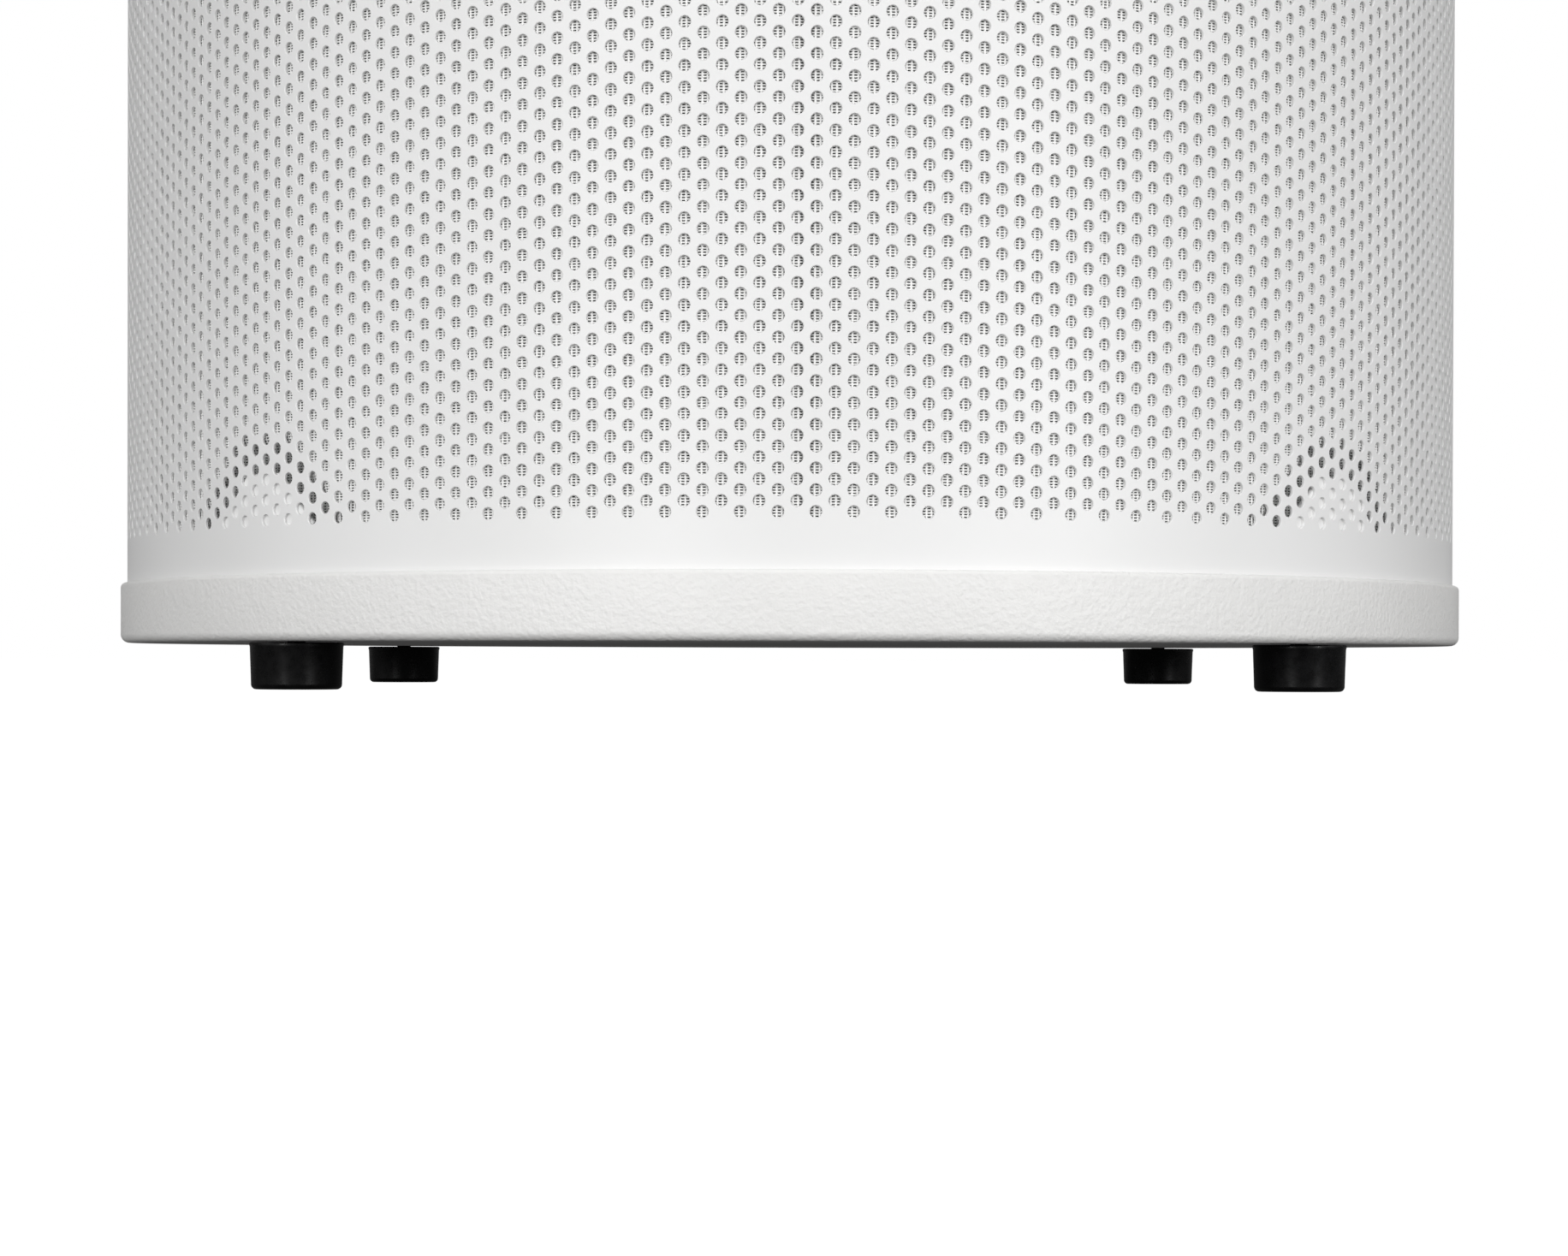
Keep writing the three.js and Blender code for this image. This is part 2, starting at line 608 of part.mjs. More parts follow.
// The rocker switch: a bezel that drops into the lid, and a rocker that tilts about X inside it.
const SWITCH_TOP = BODY_TOP + GAP + 2;
const SWITCH_WALL = 2;
function switchBezel() {
  const flangeX = SWITCH_HALF_X + 3;
  const flangeY = SWITCH_HALF_Y + 3;
  const wellX = SWITCH_HALF_X - SWITCH_WALL;
  const wellY = 10.4;
  const flange = box(-flangeX, flangeX, -flangeY, flangeY, BODY_TOP + GAP, SWITCH_TOP);
  const body = box(-SWITCH_HALF_X, SWITCH_HALF_X, -SWITCH_HALF_Y, SWITCH_HALF_Y, BODY_TOP - 16, BODY_TOP + 1);
  const well = box(-wellX, wellX, -wellY, wellY, BODY_TOP - 8, SWITCH_TOP + 5);
  return cut(join(flange, body), well).translate(SWITCH_X, KNOB_Y, 0);
}
add('switch_bezel', switchBezel(), blackPlastic);

const ROCKER_PIVOT = BODY_TOP - 1.5;
const ROCKER_TILT = 8; // to either side of level
function rocker() {
  const halfLength = 9.2;
  const halfWidth = 6.5;
  const low = -2.2;
  const tip = 4.6; // height of both ends; the middle is a little lower
  const side = new THREE.Shape();
  side.moveTo(-halfLength, low);
  side.lineTo(halfLength, low);
  side.lineTo(halfLength, tip);
  side.lineTo(0, tip - 1.2);
  side.lineTo(-halfLength, tip);
  side.closePath();
  // The side view is drawn across Y and Z, and pushed along X.
  const level = raised(side, -halfWidth, halfWidth).rotateX(Math.PI / 2).rotateZ(Math.PI / 2);
  return level.rotateX(-ROCKER_TILT * DEG).translate(SWITCH_X, KNOB_Y, ROCKER_PIVOT);
}
add('switch_rocker', rocker(), blackPlastic);

// ---------------------------------------------------------------- power inlet and loom

// A panel-mounted appliance inlet at the rear, with three pins in a recess.
const INLET_FACE = PAN_RADIUS - 0.2;
const INLET_BACK = INLET_FACE - 30;
const INLET_DEPTH = 16; // of the recess
function powerInlet() {
  const low = SHELL_RADIUS + GAP;
  const flange = box(-24, 24, low, INLET_FACE, INLET_Z - 14, INLET_Z + 14);
  const body = box(-14, 14, INLET_BACK, INLET_FACE - 0.5, INLET_Z - 11, INLET_Z + 11);
  const recess = box(-12, 12, INLET_FACE - INLET_DEPTH, INLET_FACE + 5, INLET_Z - 8, INLET_Z + 8);
  const pin = (x, z) => box(x - 1, x + 1, INLET_FACE - INLET_DEPTH - 2, INLET_FACE - 3, z - 2, z + 2);
  const pins = [pin(-7, INLET_Z - 1), pin(0, INLET_Z + 3), pin(7, INLET_Z - 1)];
  return join(cut(join(flange, body), recess), ...pins);
}
add('power_inlet', powerInlet(), blackPlastic);

// The wiring runs up from the inlet, over the bracket past the capacitor, and forward to the control box.
const loomRoute = [
  [0, INLET_BACK - GAP, INLET_Z],
  [0, INLET_BACK - 4, INLET_Z],
  [-8, 149, 446],
  [-22, 146, 470],
  [-22, 140, 512],
  [-30, 100, 541],
  [-38, 20, 545],
  [-34, -40, 546],
  [-19, -75, 545.5],
  [-18, CONTROL_REAR + 6, 545.5],
  [-18, CONTROL_REAR + GAP, 545.5],
];
add('wiring_loom', bar(loomRoute, 3, 30, 6), blackPlastic);

// The motor's own lead leaves the side of the stator's flange and goes up into the underside of the control
// box.
const leadRoute = [
  [0, -CUP_RADIUS + 2, 496],
  [0, -CUP_RADIUS - 4, 496],
  [0, -66, 496.5],
  [2, -88, 505],
  [6, -99, 520],
  [6, -100, CONTROL_LOW - 5],
  [6, -100, CONTROL_LOW - GAP],
];
add('motor_lead', bar(leadRoute, 2, 14, 6), blackPlastic);

// ---------------------------------------------------------------- side handles

// Each handle is a steel bail on two lugs. It hangs against the shell, and swings outwards.
const LUG_RADIUS = 8;
const LUG_HALF_HEIGHT = 11;
const LUG_HALF_WIDTH = 6;
const BAIL_RADIUS = 3;
function lug(side, end) {
  const root = -34; // well inside the shell, where the block is then cut off
  const nose = -3; // where the block's straight edges end
  const outline = new THREE.Shape();
  outline.moveTo(root, -LUG_HALF_HEIGHT);
  outline.lineTo(nose, -LUG_HALF_HEIGHT);
  outline.absarc(0, 0, LUG_RADIUS, -Math.PI / 2, Math.PI / 2, false);
  outline.lineTo(nose, LUG_HALF_HEIGHT);
  outline.lineTo(root, LUG_HALF_HEIGHT);
  outline.closePath();
  const bore = new THREE.Path();
  bore.absarc(0, 0, BAIL_RADIUS + 0.7, 0, 2 * Math.PI, true);
  outline.holes.push(bore);
  // The outline is drawn across X and Z, and pushed along Y.
  const block = raised(outline, -LUG_HALF_WIDTH, LUG_HALF_WIDTH, 5).rotateX(Math.PI / 2);
  if (side < 0) block.rotateZ(Math.PI);
  const placed = block.translate(side * HANDLE_X, end * HANDLE_HALF, HANDLE_Z);
  return cut(placed, disc(SHELL_RADIUS + GAP, HANDLE_Z - 20, HANDLE_Z + 20, ROUND));
}

// Half a bail, from its end in a lug down to its grip, is mirrored for the other half.
const BAIL_DROP = 50;
function bail(side) {
  const out = 4.5; // the grip hangs this much further out than the pivots, clear of the shell
  const arm = HANDLE_HALF - 12;
  const half = [
    [0, HANDLE_HALF + 7, 0],
    [0, HANDLE_HALF - 5, 0],
    [0, arm + 2, -2],
    [0.6, arm, -8],
    [out - 1, arm, -BAIL_DROP + 12],
    [out, arm - 3, -BAIL_DROP + 3],
    [out, arm - 12, -BAIL_DROP],
  ];
  const mirrored = half.map(([x, y, z]) => [x, -y, z]).reverse();
  const points = [...half, ...mirrored].map(([x, y, z]) => [side * (HANDLE_X + x), y, HANDLE_Z + z]);
  return bar(points, BAIL_RADIUS, 44, 6);
}

for (const [name, side] of [['right', 1], ['left', -1]]) {
  add(`handle_lug_${name}_front`, lug(side, -1), zinc);
  add(`handle_lug_${name}_rear`, lug(side, 1), zinc);
  add(`handle_bail_${name}`, bail(side), zinc);
}

export default purifier;
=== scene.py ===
"""Looks for a cylindrical steel room air purifier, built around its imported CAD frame.

The shell's punched holes, the net behind them and every turned, pressed or bent piece are meshes made here.
Lengths are in millimetres, and become Blender's metres where a mesh is made. Only the floor and the lights are
given in metres. Azimuths run from the front (-Y) towards +X.
"""

import math

import bmesh
import bpy
import numpy as np
from mathutils import Matrix, Vector


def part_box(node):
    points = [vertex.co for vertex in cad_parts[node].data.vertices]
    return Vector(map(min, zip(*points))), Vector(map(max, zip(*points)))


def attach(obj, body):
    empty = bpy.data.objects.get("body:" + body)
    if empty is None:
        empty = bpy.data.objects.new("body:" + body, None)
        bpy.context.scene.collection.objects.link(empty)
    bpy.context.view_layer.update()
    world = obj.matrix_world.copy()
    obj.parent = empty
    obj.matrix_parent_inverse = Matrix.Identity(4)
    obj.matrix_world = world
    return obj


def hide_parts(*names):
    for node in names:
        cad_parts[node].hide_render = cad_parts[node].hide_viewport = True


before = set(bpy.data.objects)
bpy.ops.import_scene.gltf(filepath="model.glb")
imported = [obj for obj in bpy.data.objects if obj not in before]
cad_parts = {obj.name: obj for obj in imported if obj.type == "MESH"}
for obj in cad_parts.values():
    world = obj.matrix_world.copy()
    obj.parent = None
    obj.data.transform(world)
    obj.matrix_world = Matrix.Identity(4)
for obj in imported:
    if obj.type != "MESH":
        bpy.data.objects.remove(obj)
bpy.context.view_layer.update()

MM = 0.001
TURN = 2 * math.pi
QUARTER = math.pi / 2
CORNERS = {"front_left": -45, "front_right": 45, "rear_right": 135, "rear_left": 225}  # azimuths in degrees


def box(node):
    """A CAD node's lowest and highest corners."""
    return [np.array(point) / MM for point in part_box(node)]


def z_range(node):
    """A CAD node's lowest and highest Z."""
    return [point[2] for point in box(node)]


def mesh_points(data):
    return np.array([v.co for v in data.vertices]) / MM


def node_ring(node):
    """A turned node's smallest and largest radius about Z, and its lowest and highest Z."""
    x, y, z = mesh_points(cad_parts[node].data).T
    radii = np.hypot(x, y)
    return radii.min(), radii.max(), z.min(), z.max()


def polar(r, azimuth, z):
    """Points at a radius, an azimuth and a height. Any of the three may be arrays."""
    return np.stack(np.broadcast_arrays(r * np.sin(azimuth), -r * np.cos(azimuth), z), -1)


def linked(name, data):
    """A new object in the scene."""
    made = bpy.data.objects.new(name, data)
    bpy.context.scene.collection.objects.link(made)
    return made


# ---------------- shader nodes


def connect(tree, node, inputs):
    """Gives each named input its value, or a link where that is another node's output."""
    for key, value in inputs.items():
        if isinstance(value, bpy.types.NodeSocket):
            tree.links.new(value, node.inputs[key])
        else:
            node.inputs[key].default_value = value


def add(tree, kind, inputs=None, **settings):
    node = tree.nodes.new("ShaderNode" + kind)
    for key, value in settings.items():
        setattr(node, key, value)
    connect(tree, node, inputs or {})
    return node


def fade(tree, value, start, end, low, high):
    """value from start to end, mapped to low to high."""
    limits = {"From Min": start, "From Max": end, "To Min": low, "To Max": high}
    return add(tree, "MapRange", {"Value": value, **limits}).outputs["Result"]


def camera_only(tree, seen, other):
    """A number that is one thing where the camera looks straight at a stage surface and another elsewhere."""
    straight = add(tree, "LightPath").outputs["Is Camera Ray"]
    return add(tree, "Mix", {"A": other, "B": seen, "Factor": straight}).outputs["Result"]


# ---------------- camera, stage and light

SHELL_RADIUS, SHELL_LOW, SHELL_HIGH = node_ring("perforated_shell")[1:]
PAN_LOW = box("base_pan")[0][2]
FRONT_SKY, REAR_SKY, HIGH_SKY = 1.55, 0.1, 0.4  # the last is how much of it is left straight above
SEEN_WHITE = 1.0  # what the camera sees of the world and the floor
FLOOR_GLOW = 0.05


def make_camera():
    """Eye level is a little below the base pan, 0.89 m from the axis and a little left of the front."""
    azimuth = math.radians(-1.055)
    distance, sideways, below_pan = 4.6915 * SHELL_RADIUS, -1.57, 4.4
    data = bpy.data.cameras.new("camera")
    data.sensor_width = 36
    data.lens = 69.7
    data.shift_y = 0.0354
    data.clip_start = 0.01
    camera = linked("camera", data)
    place = polar(distance, azimuth, PAN_LOW - below_pan) + polar(sideways, azimuth + QUARTER, 0)
    camera.location = place * MM
    camera.rotation_euler = (math.radians(89.56), math.radians(-0.15), azimuth)
    bpy.context.scene.camera = camera


def make_world():
    """White to look at. Its light comes mostly from the front, which greys the object's sides as in the photo."""
    world = bpy.data.worlds.new("studio")
    bpy.context.scene.world = world
    world.use_nodes = True
    tree = world.node_tree
    toward = add(tree, "TexCoord").outputs["Generated"]
    split = add(tree, "SeparateXYZ", {"Vector": toward}).outputs
    front = fade(tree, split["Y"], -0.2, 0.2, FRONT_SKY, REAR_SKY)
    above = fade(tree, split["Z"], 0.25, 0.9, 1, HIGH_SKY)
    sky = add(tree, "Math", {0: front, 1: above}, operation="MULTIPLY").outputs[0]
    strength = camera_only(tree, SEEN_WHITE, sky)
    connect(tree, tree.nodes["Background"], {"Color": (1, 1, 1, 1), "Strength": strength})


def make_floor():
    """A wide pale floor that glows a little, so that shadows on it stay faint."""
    size = 30
    data = bpy.data.meshes.new("floor")
    data.from_pydata([(-size, -size, 0), (size, -size, 0), (size, size, 0), (-size, size, 0)], [], [(0, 1, 2, 3)])
    material = bpy.data.materials.new("floor")
    material.use_nodes = True
    tree = material.node_tree
    connect(tree, tree.nodes["Principled BSDF"], {
        "Base Color": (0.1, 0.1, 0.1, 1),
        "Roughness": 1,
        "Specular IOR Level": 0,
        "Emission Color": (1, 1, 1, 1),
        "Emission Strength": camera_only(tree, SEEN_WHITE, FLOOR_GLOW),
    })
    data.materials.append(material)
    linked("floor", data)


def add_softbox(name, place, aim, size, power):
    data = bpy.data.lights.new(name, "AREA")
    data.shape = "RECTANGLE"
    data.size, data.size_y = size
    data.energy = power
    light = linked(name, data)
    light.location = place
    light.rotation_euler = (Vector(aim) - Vector(place)).to_track_quat("-Z", "Y").to_euler()


make_camera()
make_world()
make_floor()
add_softbox("rear_softbox", (0.1, 2.75, 2.1), (0, 0, 0.3), (1.8, 1.2), 57)
add_softbox("top_softbox", (0.4, -0.6, 3.0), (0, 0, 0.4), (2.0, 2.0), 4)
add_softbox("left_strip", (-1.18, -2.4, 0.24), (0, 0, 0.05), (0.06, 0.42), 13.5)
add_softbox("right_strip", (1.63, -2.12, 0.24), (0, 0, 0.05), (0.06, 0.42), 13.5)
bpy.context.scene.view_settings.view_transform = "Standard"


# ---------------- materials


def pattern(tree, size, detail=None, stretch=None):
    """A value over the object, with features about size across: noise if it has a detail, otherwise cells.
    stretch scales it by (x, y, z), for grain that runs one way."""
    inputs = {"Vector": add(tree, "TexCoord").outputs["Object"], "Scale": 1 / (size * MM)}
    if stretch:
        inputs["Vector"] = add(tree, "Mapping", {"Vector": inputs["Vector"], "Scale": stretch}).outputs["Vector"]
    if detail is None:
        return add(tree, "TexVoronoi", inputs).outputs["Distance"]
    return add(tree, "TexNoise", {**inputs, "Detail": detail}).outputs["Fac"]


def paint(name, slot, first, second, tint, rough, *bumps, span=(0.35, 0.65), metallic=0, specular=0.5):
    """A node material. Its colour runs from first to second where the pattern tint is in span. rough is one
    roughness, or the lowest, the highest and the pattern between them. A bump is (depth, strength, pattern)."""
    material = bpy.data.materials.new(name)
    material.use_nodes = True
    tree = material.node_tree
    factor = fade(tree, pattern(tree, *tint), *span, 0, 1)
    mix = add(tree, "Mix", {"A": (*first, 1), "B": (*second, 1), "Factor": factor}, data_type="RGBA")
    if isinstance(rough, tuple):
        low, high, between = rough
        rough = fade(tree, pattern(tree, *between), 0.3, 0.7, low, high)
    inputs = {"Base Color": mix.outputs["Result"], "Roughness": rough, "Metallic": metallic}
    relief = {}
    for depth, strength, height in bumps:
        height = pattern(tree, *height)
        bump = add(tree, "Bump", {"Strength": strength, "Distance": depth * MM, "Height": height, **relief})
        relief = {"Normal": bump.outputs["Normal"]}
    connect(tree, tree.nodes["Principled BSDF"], {**inputs, **relief, "Specular IOR Level": specular})
    return material


def moulded(name, slot, dark, light, grain=0.5, roughness=(0.42, 0.55)):
    """Injection-moulded plastic with a fine spark texture."""
    return paint(name, slot, dark, light, (12, 3), (*roughness, (3, 2)), (0.04, 0.5, (grain,)))


# Powder coats: smooth with a faint flow texture, coarse orange peel, and the tabs' own
SHELL_PAINT = paint("shell_powder_coat", "shell_paint", (0.8, 0.8, 0.795), (0.83, 0.83, 0.828), (90, 2),
                    (0.4, 0.47, (30, 2)), (0.04, 0.35, (1.6, 3)))
PAN_PAINT = paint("pan_textured_coat", "pan_paint", (0.775, 0.772, 0.761), (0.795, 0.792, 0.781), (30, 2),
                  (0.42, 0.52, (2, 2)), (0.22, 1, (1.3, 2)), (0.2, 0.6, (3, 2)))
TAB_PAINT = paint("tab_powder_coat", "tab_paint", (0.86, 0.86, 0.855), (0.9, 0.9, 0.895), (20, 2), 0.45,
                  (0.04, 0.4, (1.4, 3)))
# Matt moulded rubber with a dusting of lighter bloom
RUBBER = paint("black_rubber", "rubber", (0.0008, 0.0008, 0.0009), (0.0025, 0.0024, 0.0027), (4, 4),
               (0.25, 0.32, (2, 2)), (0.02, 0.5, (0.6, 2)), specular=0.2)
BLACK = moulded("black_plastic", "black_plastic", (0.014, 0.014, 0.015), (0.024, 0.024, 0.025))
GREY = moulded("grey_plastic", "grey_plastic", (0.26, 0.27, 0.28), (0.31, 0.32, 0.33))
MARKS = moulded("white_marking", None, (0.78, 0.78, 0.78), (0.84, 0.84, 0.84))
CABLE = moulded("cable_sheath", "black_plastic", (0.012, 0.012, 0.013), (0.022, 0.022, 0.023), 0.8, (0.35, 0.5))
# Zinc plate with clouded passivation and a fine rolled grain, hot-dip spangle, and cast aluminium
ZINC = paint("zinc_plated_steel", "zinc", (0.6, 0.606, 0.618), (0.69, 0.69, 0.69), (14, 4),
             (0.28, 0.42, (6, 3)), (0.02, 0.4, (1.2, 3, (1, 12, 1))), metallic=1)
GALVANISED = paint("galvanised_sheet", "zinc", (0.56, 0.57, 0.585), (0.68, 0.69, 0.7), (11,),
                   (0.38, 0.48, (11,)), (0.02, 0.3, (2, 2)), span=(0.1, 0.6), metallic=0.95)
ALUMINIUM = paint("cast_aluminium", "aluminium", (0.66, 0.67, 0.68), (0.76, 0.77, 0.775), (10, 3),
                  (0.36, 0.5, (4, 2)), (0.04, 0.5, (0.9, 3)), metallic=1)
NET = paint("white_netting", "netting", (0.9, 0.9, 0.89), (0.94, 0.94, 0.93), (4, 2), 0.55,
            (0.05, 0.5, (0.4, 2)))
FIBRE = paint("prefilter_fibre", "netting", (0.045, 0.045, 0.048), (0.13, 0.13, 0.134), (1.2, 5), 0.95,
              (0.6, 0.9, (0.8, 5)))
PAPER = paint("filter_paper", "filter_paper", (0.8, 0.77, 0.69), (0.87, 0.85, 0.79), (6, 5), 0.92,
              (0.08, 0.6, (0.5, 5)))
URETHANE = paint("cast_urethane", "urethane", (0.026, 0.029, 0.034), (0.042, 0.045, 0.05), (10, 3),
                 (0.42, 0.6, (4, 2)), (0.1, 0.4, (3, 3)))
FOAM = paint("open_cell_foam", "foam", (0.018, 0.018, 0.02), (0.075, 0.075, 0.08), (1.6,), 0.95,
             (0.6, 0.9, (1.6,)), span=(0.15, 0.6))
CARBON = paint("carbon_granules", "carbon", (0.006, 0.006, 0.007), (0.03, 0.03, 0.032), (3.5,), 0.7,
               (1.5, 0.9, (3.5,)), span=(0.1, 0.7))


# ---------------- mesh building


def mesh_object(points, faces, material, normals=None, sharp=None):
    """An object of one mesh. faces is a list of (count, corners) index arrays, and normals is one per face corner.
    Edges sharper than sharp degrees stay sharp."""
    points = (np.asarray(points, float) * MM).astype(np.float32)
    faces = [np.asarray(f, np.int32) for f in faces if len(f)]
    corners = np.concatenate([f.ravel() for f in faces])
    sizes = np.concatenate([np.full(len(f), f.shape[1], np.int32) for f in faces])
    data = bpy.data.meshes.new("piece")
    data.vertices.add(len(points))
    data.vertices.foreach_set("co", points.ravel())
    data.loops.add(len(corners))
    data.loops.foreach_set("vertex_index", corners)
    data.polygons.add(len(sizes))
    data.polygons.foreach_set("loop_start", np.concatenate([[0], np.cumsum(sizes)[:-1]]).astype(np.int32))
    data.update(calc_edges=True)
    data.polygons.foreach_set("use_smooth", np.ones(len(sizes), bool))
    if normals is not None:
        data.normals_split_custom_set(np.asarray(normals, np.float32).reshape(-1, 3))
    elif sharp is not None:
        data.set_sharp_from_angle(angle=math.radians(sharp))
    data.materials.append(material)
    return linked("piece", data)


def joined(pieces):
    """One object from several."""
    bpy.ops.object.select_all(action="DESELECT")
    for piece in pieces:
        piece.select_set(True)
    bpy.context.view_layer.objects.active = pieces[0]
    bpy.ops.object.join()
    return pieces[0]


def finished(name, piece, node, body="housing"):
    """Names a piece, or several that become one, and puts it on its body in the place of a CAD node."""
    if isinstance(piece, list):
        piece = joined(piece)
    piece.name = piece.data.name = name
    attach(piece, body)
    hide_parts(node)
    return piece


def band(a, b, count):
    """Quads between two closed loops of count points, whose first points are a and b."""
    here = np.arange(count)
    after = (here + 1) % count
    return np.stack([a + here, a + after, b + after, b + here], -1)


def fan(a, centre, count):
    """Triangles from a closed loop of count points, whose first is a, to a point."""
    return np.append(band(a, a, count)[:, :2], np.full((count, 1), centre), 1)


def arc(centre_r, centre_z, radius, start, end, steps=6):
    """Points of an arc in the (radius, height) plane, from start to end in degrees."""
    angles = np.radians(np.linspace(start, end, steps + 1))
    return [(centre_r + radius * math.cos(a), centre_z + radius * math.sin(a)) for a in angles]


def corner(r, z, radius, start, steps=3):
    """The quarter arc that rounds a section's corner at (r, z), from start degrees on."""
    out, up = {-90: (-1, 1), 0: (-1, -1), 90: (1, -1), 180: (1, 1)}[start]
    return arc(r + out * radius, z + up * radius, radius, start, start + 90, steps)


def lathe(profile, material, segments=96, centre=(0, 0), sharp=35):
    """profile, a list of (radius, height), turned about an upright axis. Points on the axis become poles, and a
    profile that doesn't end on the axis closes on itself."""
    profile = [(float(r), float(z)) for r, z in profile]
    if sum(a[0] * b[1] - b[0] * a[1] for a, b in zip(profile, profile[1:] + profile[:1])) < 0:
        profile.reverse()
    angles = np.arange(segments) * TURN / segments
    starts, points = [], []
    for r, z in profile:
        starts.append(len(points))
        ring = angles if r else [0]
        points.extend((centre[0] + r * math.cos(a), centre[1] + r * math.sin(a), z) for a in ring)
    if profile[0][0] or profile[-1][0]:
        profile.append(profile[0])
        starts.append(0)
    poles, bands = [], []
    for (r, _), (next_r, _), a, b in zip(profile, profile[1:], starts, starts[1:]):
        if r and next_r:
            bands.append(band(a, b, segments))
        else:
            poles.append(fan(a, b, segments) if r else fan(b, a, segments)[:, ::-1])
    return mesh_object(points, poles + bands, material, sharp=sharp)


def boolean_cut(target, cutters):
    """Cuts the cutters out of target, and removes them."""
    for cutter in cutters:
        modifier = target.modifiers.new("cut", "BOOLEAN")
        modifier.operation = "DIFFERENCE"
        modifier.solver = "EXACT"
        modifier.object = cutter
    graph = bpy.context.evaluated_depsgraph_get()
    data = bpy.data.meshes.new_from_object(target.evaluated_get(graph))
    target.modifiers.clear()
    target.data = data
    data.set_sharp_from_angle(angle=math.radians(35))
    for cutter in cutters:
        bpy.data.objects.remove(cutter)
    return target


def rounded_box(low, high, material, rounding=0.8, steps=3):
    """A box between two corners with rounded edges."""
    low, high = np.array(low, float), np.array(high, float)
    rounding = min(rounding, (high - low).min() * 0.45)
    bm = bmesh.new()
    bmesh.ops.create_cube(bm, size=1)
    for v in bm.verts:
        v.co = ((high + low) / 2 + np.array(v.co) * (high - low)) * MM
    bmesh.ops.bevel(bm, geom=list(bm.edges), offset=rounding * MM, segments=steps, profile=0.5, affect="EDGES")
    data = bpy.data.meshes.new("piece")
    bm.to_mesh(data)
    bm.free()
    data.polygons.foreach_set("use_smooth", np.ones(len(data.polygons), bool))
    data.set_sharp_from_angle(angle=math.radians(50))
    data.materials.append(material)
    return linked("piece", data)


def moved(piece, place=(0, 0, 0), degrees=0, axis="Z"):
    """Turns a piece's mesh about an axis through the origin, and then moves it to place."""
    turn = Matrix.Rotation(math.radians(degrees), 4, axis)
    piece.data.transform(Matrix.Translation(Vector(place) * MM) @ turn)
    return piece


def push_out(piece, points, distances):
    """Moves a turned piece's points away from the Z axis."""
    radii = np.hypot(points[:, 0], points[:, 1])
    points[:, :2] *= ((radii + distances) / radii)[:, None]
    piece.data.vertices.foreach_set("co", (points * MM).ravel())


# ---------------- perforated shell

COLUMNS = 272
COLUMN = TURN / COLUMNS  # angle from one column of holes to the next
HOLE_PITCH = 5  # up a column; neighbours are half a pitch higher or lower
HOLE_RADIUS = 1.42
HOLE_EDGE = 0.22  # how far the coat rounds the edge of a hole
HOLE_SIDES = 12
SLOT_EDGE = 0.2
FIRST_HOLE = PAN_LOW + 29.7  # height of the lowest holes' centres
ROWS = 71
PANELS = 16
SEAM_COLUMNS = range(134, 138)  # at the rear the sheet's two edges meet, and have no holes
HOLES_LOW = FIRST_HOLE - HOLE_PITCH / 2
HOLES_HIGH = HOLES_LOW + (ROWS + 0.5) * HOLE_PITCH
THICKNESS = 0.7  # from how much of the holes' walls shows in the photo; the CAD sheet is a 1 mm stand-in
SHELL_INNER = SHELL_RADIUS - THICKNESS
INLET_HEIGHT = 441


def bridge(outline, rim):
    """Triangles between an outline and the rim of the hole inside it, both anticlockwise. The rim's points are
    numbered after the outline's."""
    loops, steps = [], []
    for inside, loop in enumerate((outline, rim)):
        turns = [math.atan2(v, u) % TURN for u, v in loop]
        order = sorted(range(len(loop)), key=turns.__getitem__)
        loops.append([i + inside * len(outline) for i in order])
        ends = [turns[i] for i in order[1:]] + [turns[order[0]] + TURN]
        steps += [(end, inside) for end in ends]
    at, found = [0, 0], []
    for _, inside in sorted(steps):
        here = [loop[i % len(loop)] for loop, i in zip(loops, at)]
        at[inside] += 1
        found.append([here[0], loops[inside][at[inside] % len(loops[inside])], here[1]])
    return found


def cell(outline, rim=None, out=None, edge=HOLE_EDGE, thickness=THICKNESS):
    """A patch of sheet round azimuth 0, as (arc length, height, depth) points, triangles and corner normals. rim is
    the outline of its hole, with directions out from the hole. Both run anticlockwise from outside."""
    count = len(outline)
    loops = [(outline, 0), (outline, thickness)]
    if rim is None:
        # The third corner has no two others in line with it, even where both sides have a point between corners.
        order = [(2 + i) % count for i in range(count)]
        front = [[order[0], b, c] for b, c in zip(order[1:], order[2:])]
        rim = ()
    else:
        front = bridge(outline, rim)
        loops[1:] = [(rim + out * edge, 0), (outline, thickness), (rim, thickness), (rim, edge)]
    points = [(u, v, depth) for loop, depth in loops for u, v in loop]
    sides = len(rim)
    back = count + sides
    surface, bottom, shoulder = count, back + count, 2 * back
    triangles = front + [[back + i for i in three[::-1]] for three in front]
    normals = [[(0, 0, 1)] * 3] * len(front) + [[(0, 0, -1)] * 3] * len(front)
    for i in range(sides):
        j = (i + 1) % sides
        walls = [(*-out[j], 0), (*-out[i], 0)]
        for a, b, facing in ((surface, shoulder, [(0, 0, 1)] * 2 + walls), (shoulder, bottom, walls[::-1] + walls)):
            quad = (a + i, a + j, b + j, b + i)
            for three in ((0, 1, 2), (0, 2, 3)):
                triangles.append([quad[k] for k in three])
                normals.append([facing[k] for k in three])
    return np.array(points), np.array(triangles), np.array(normals)


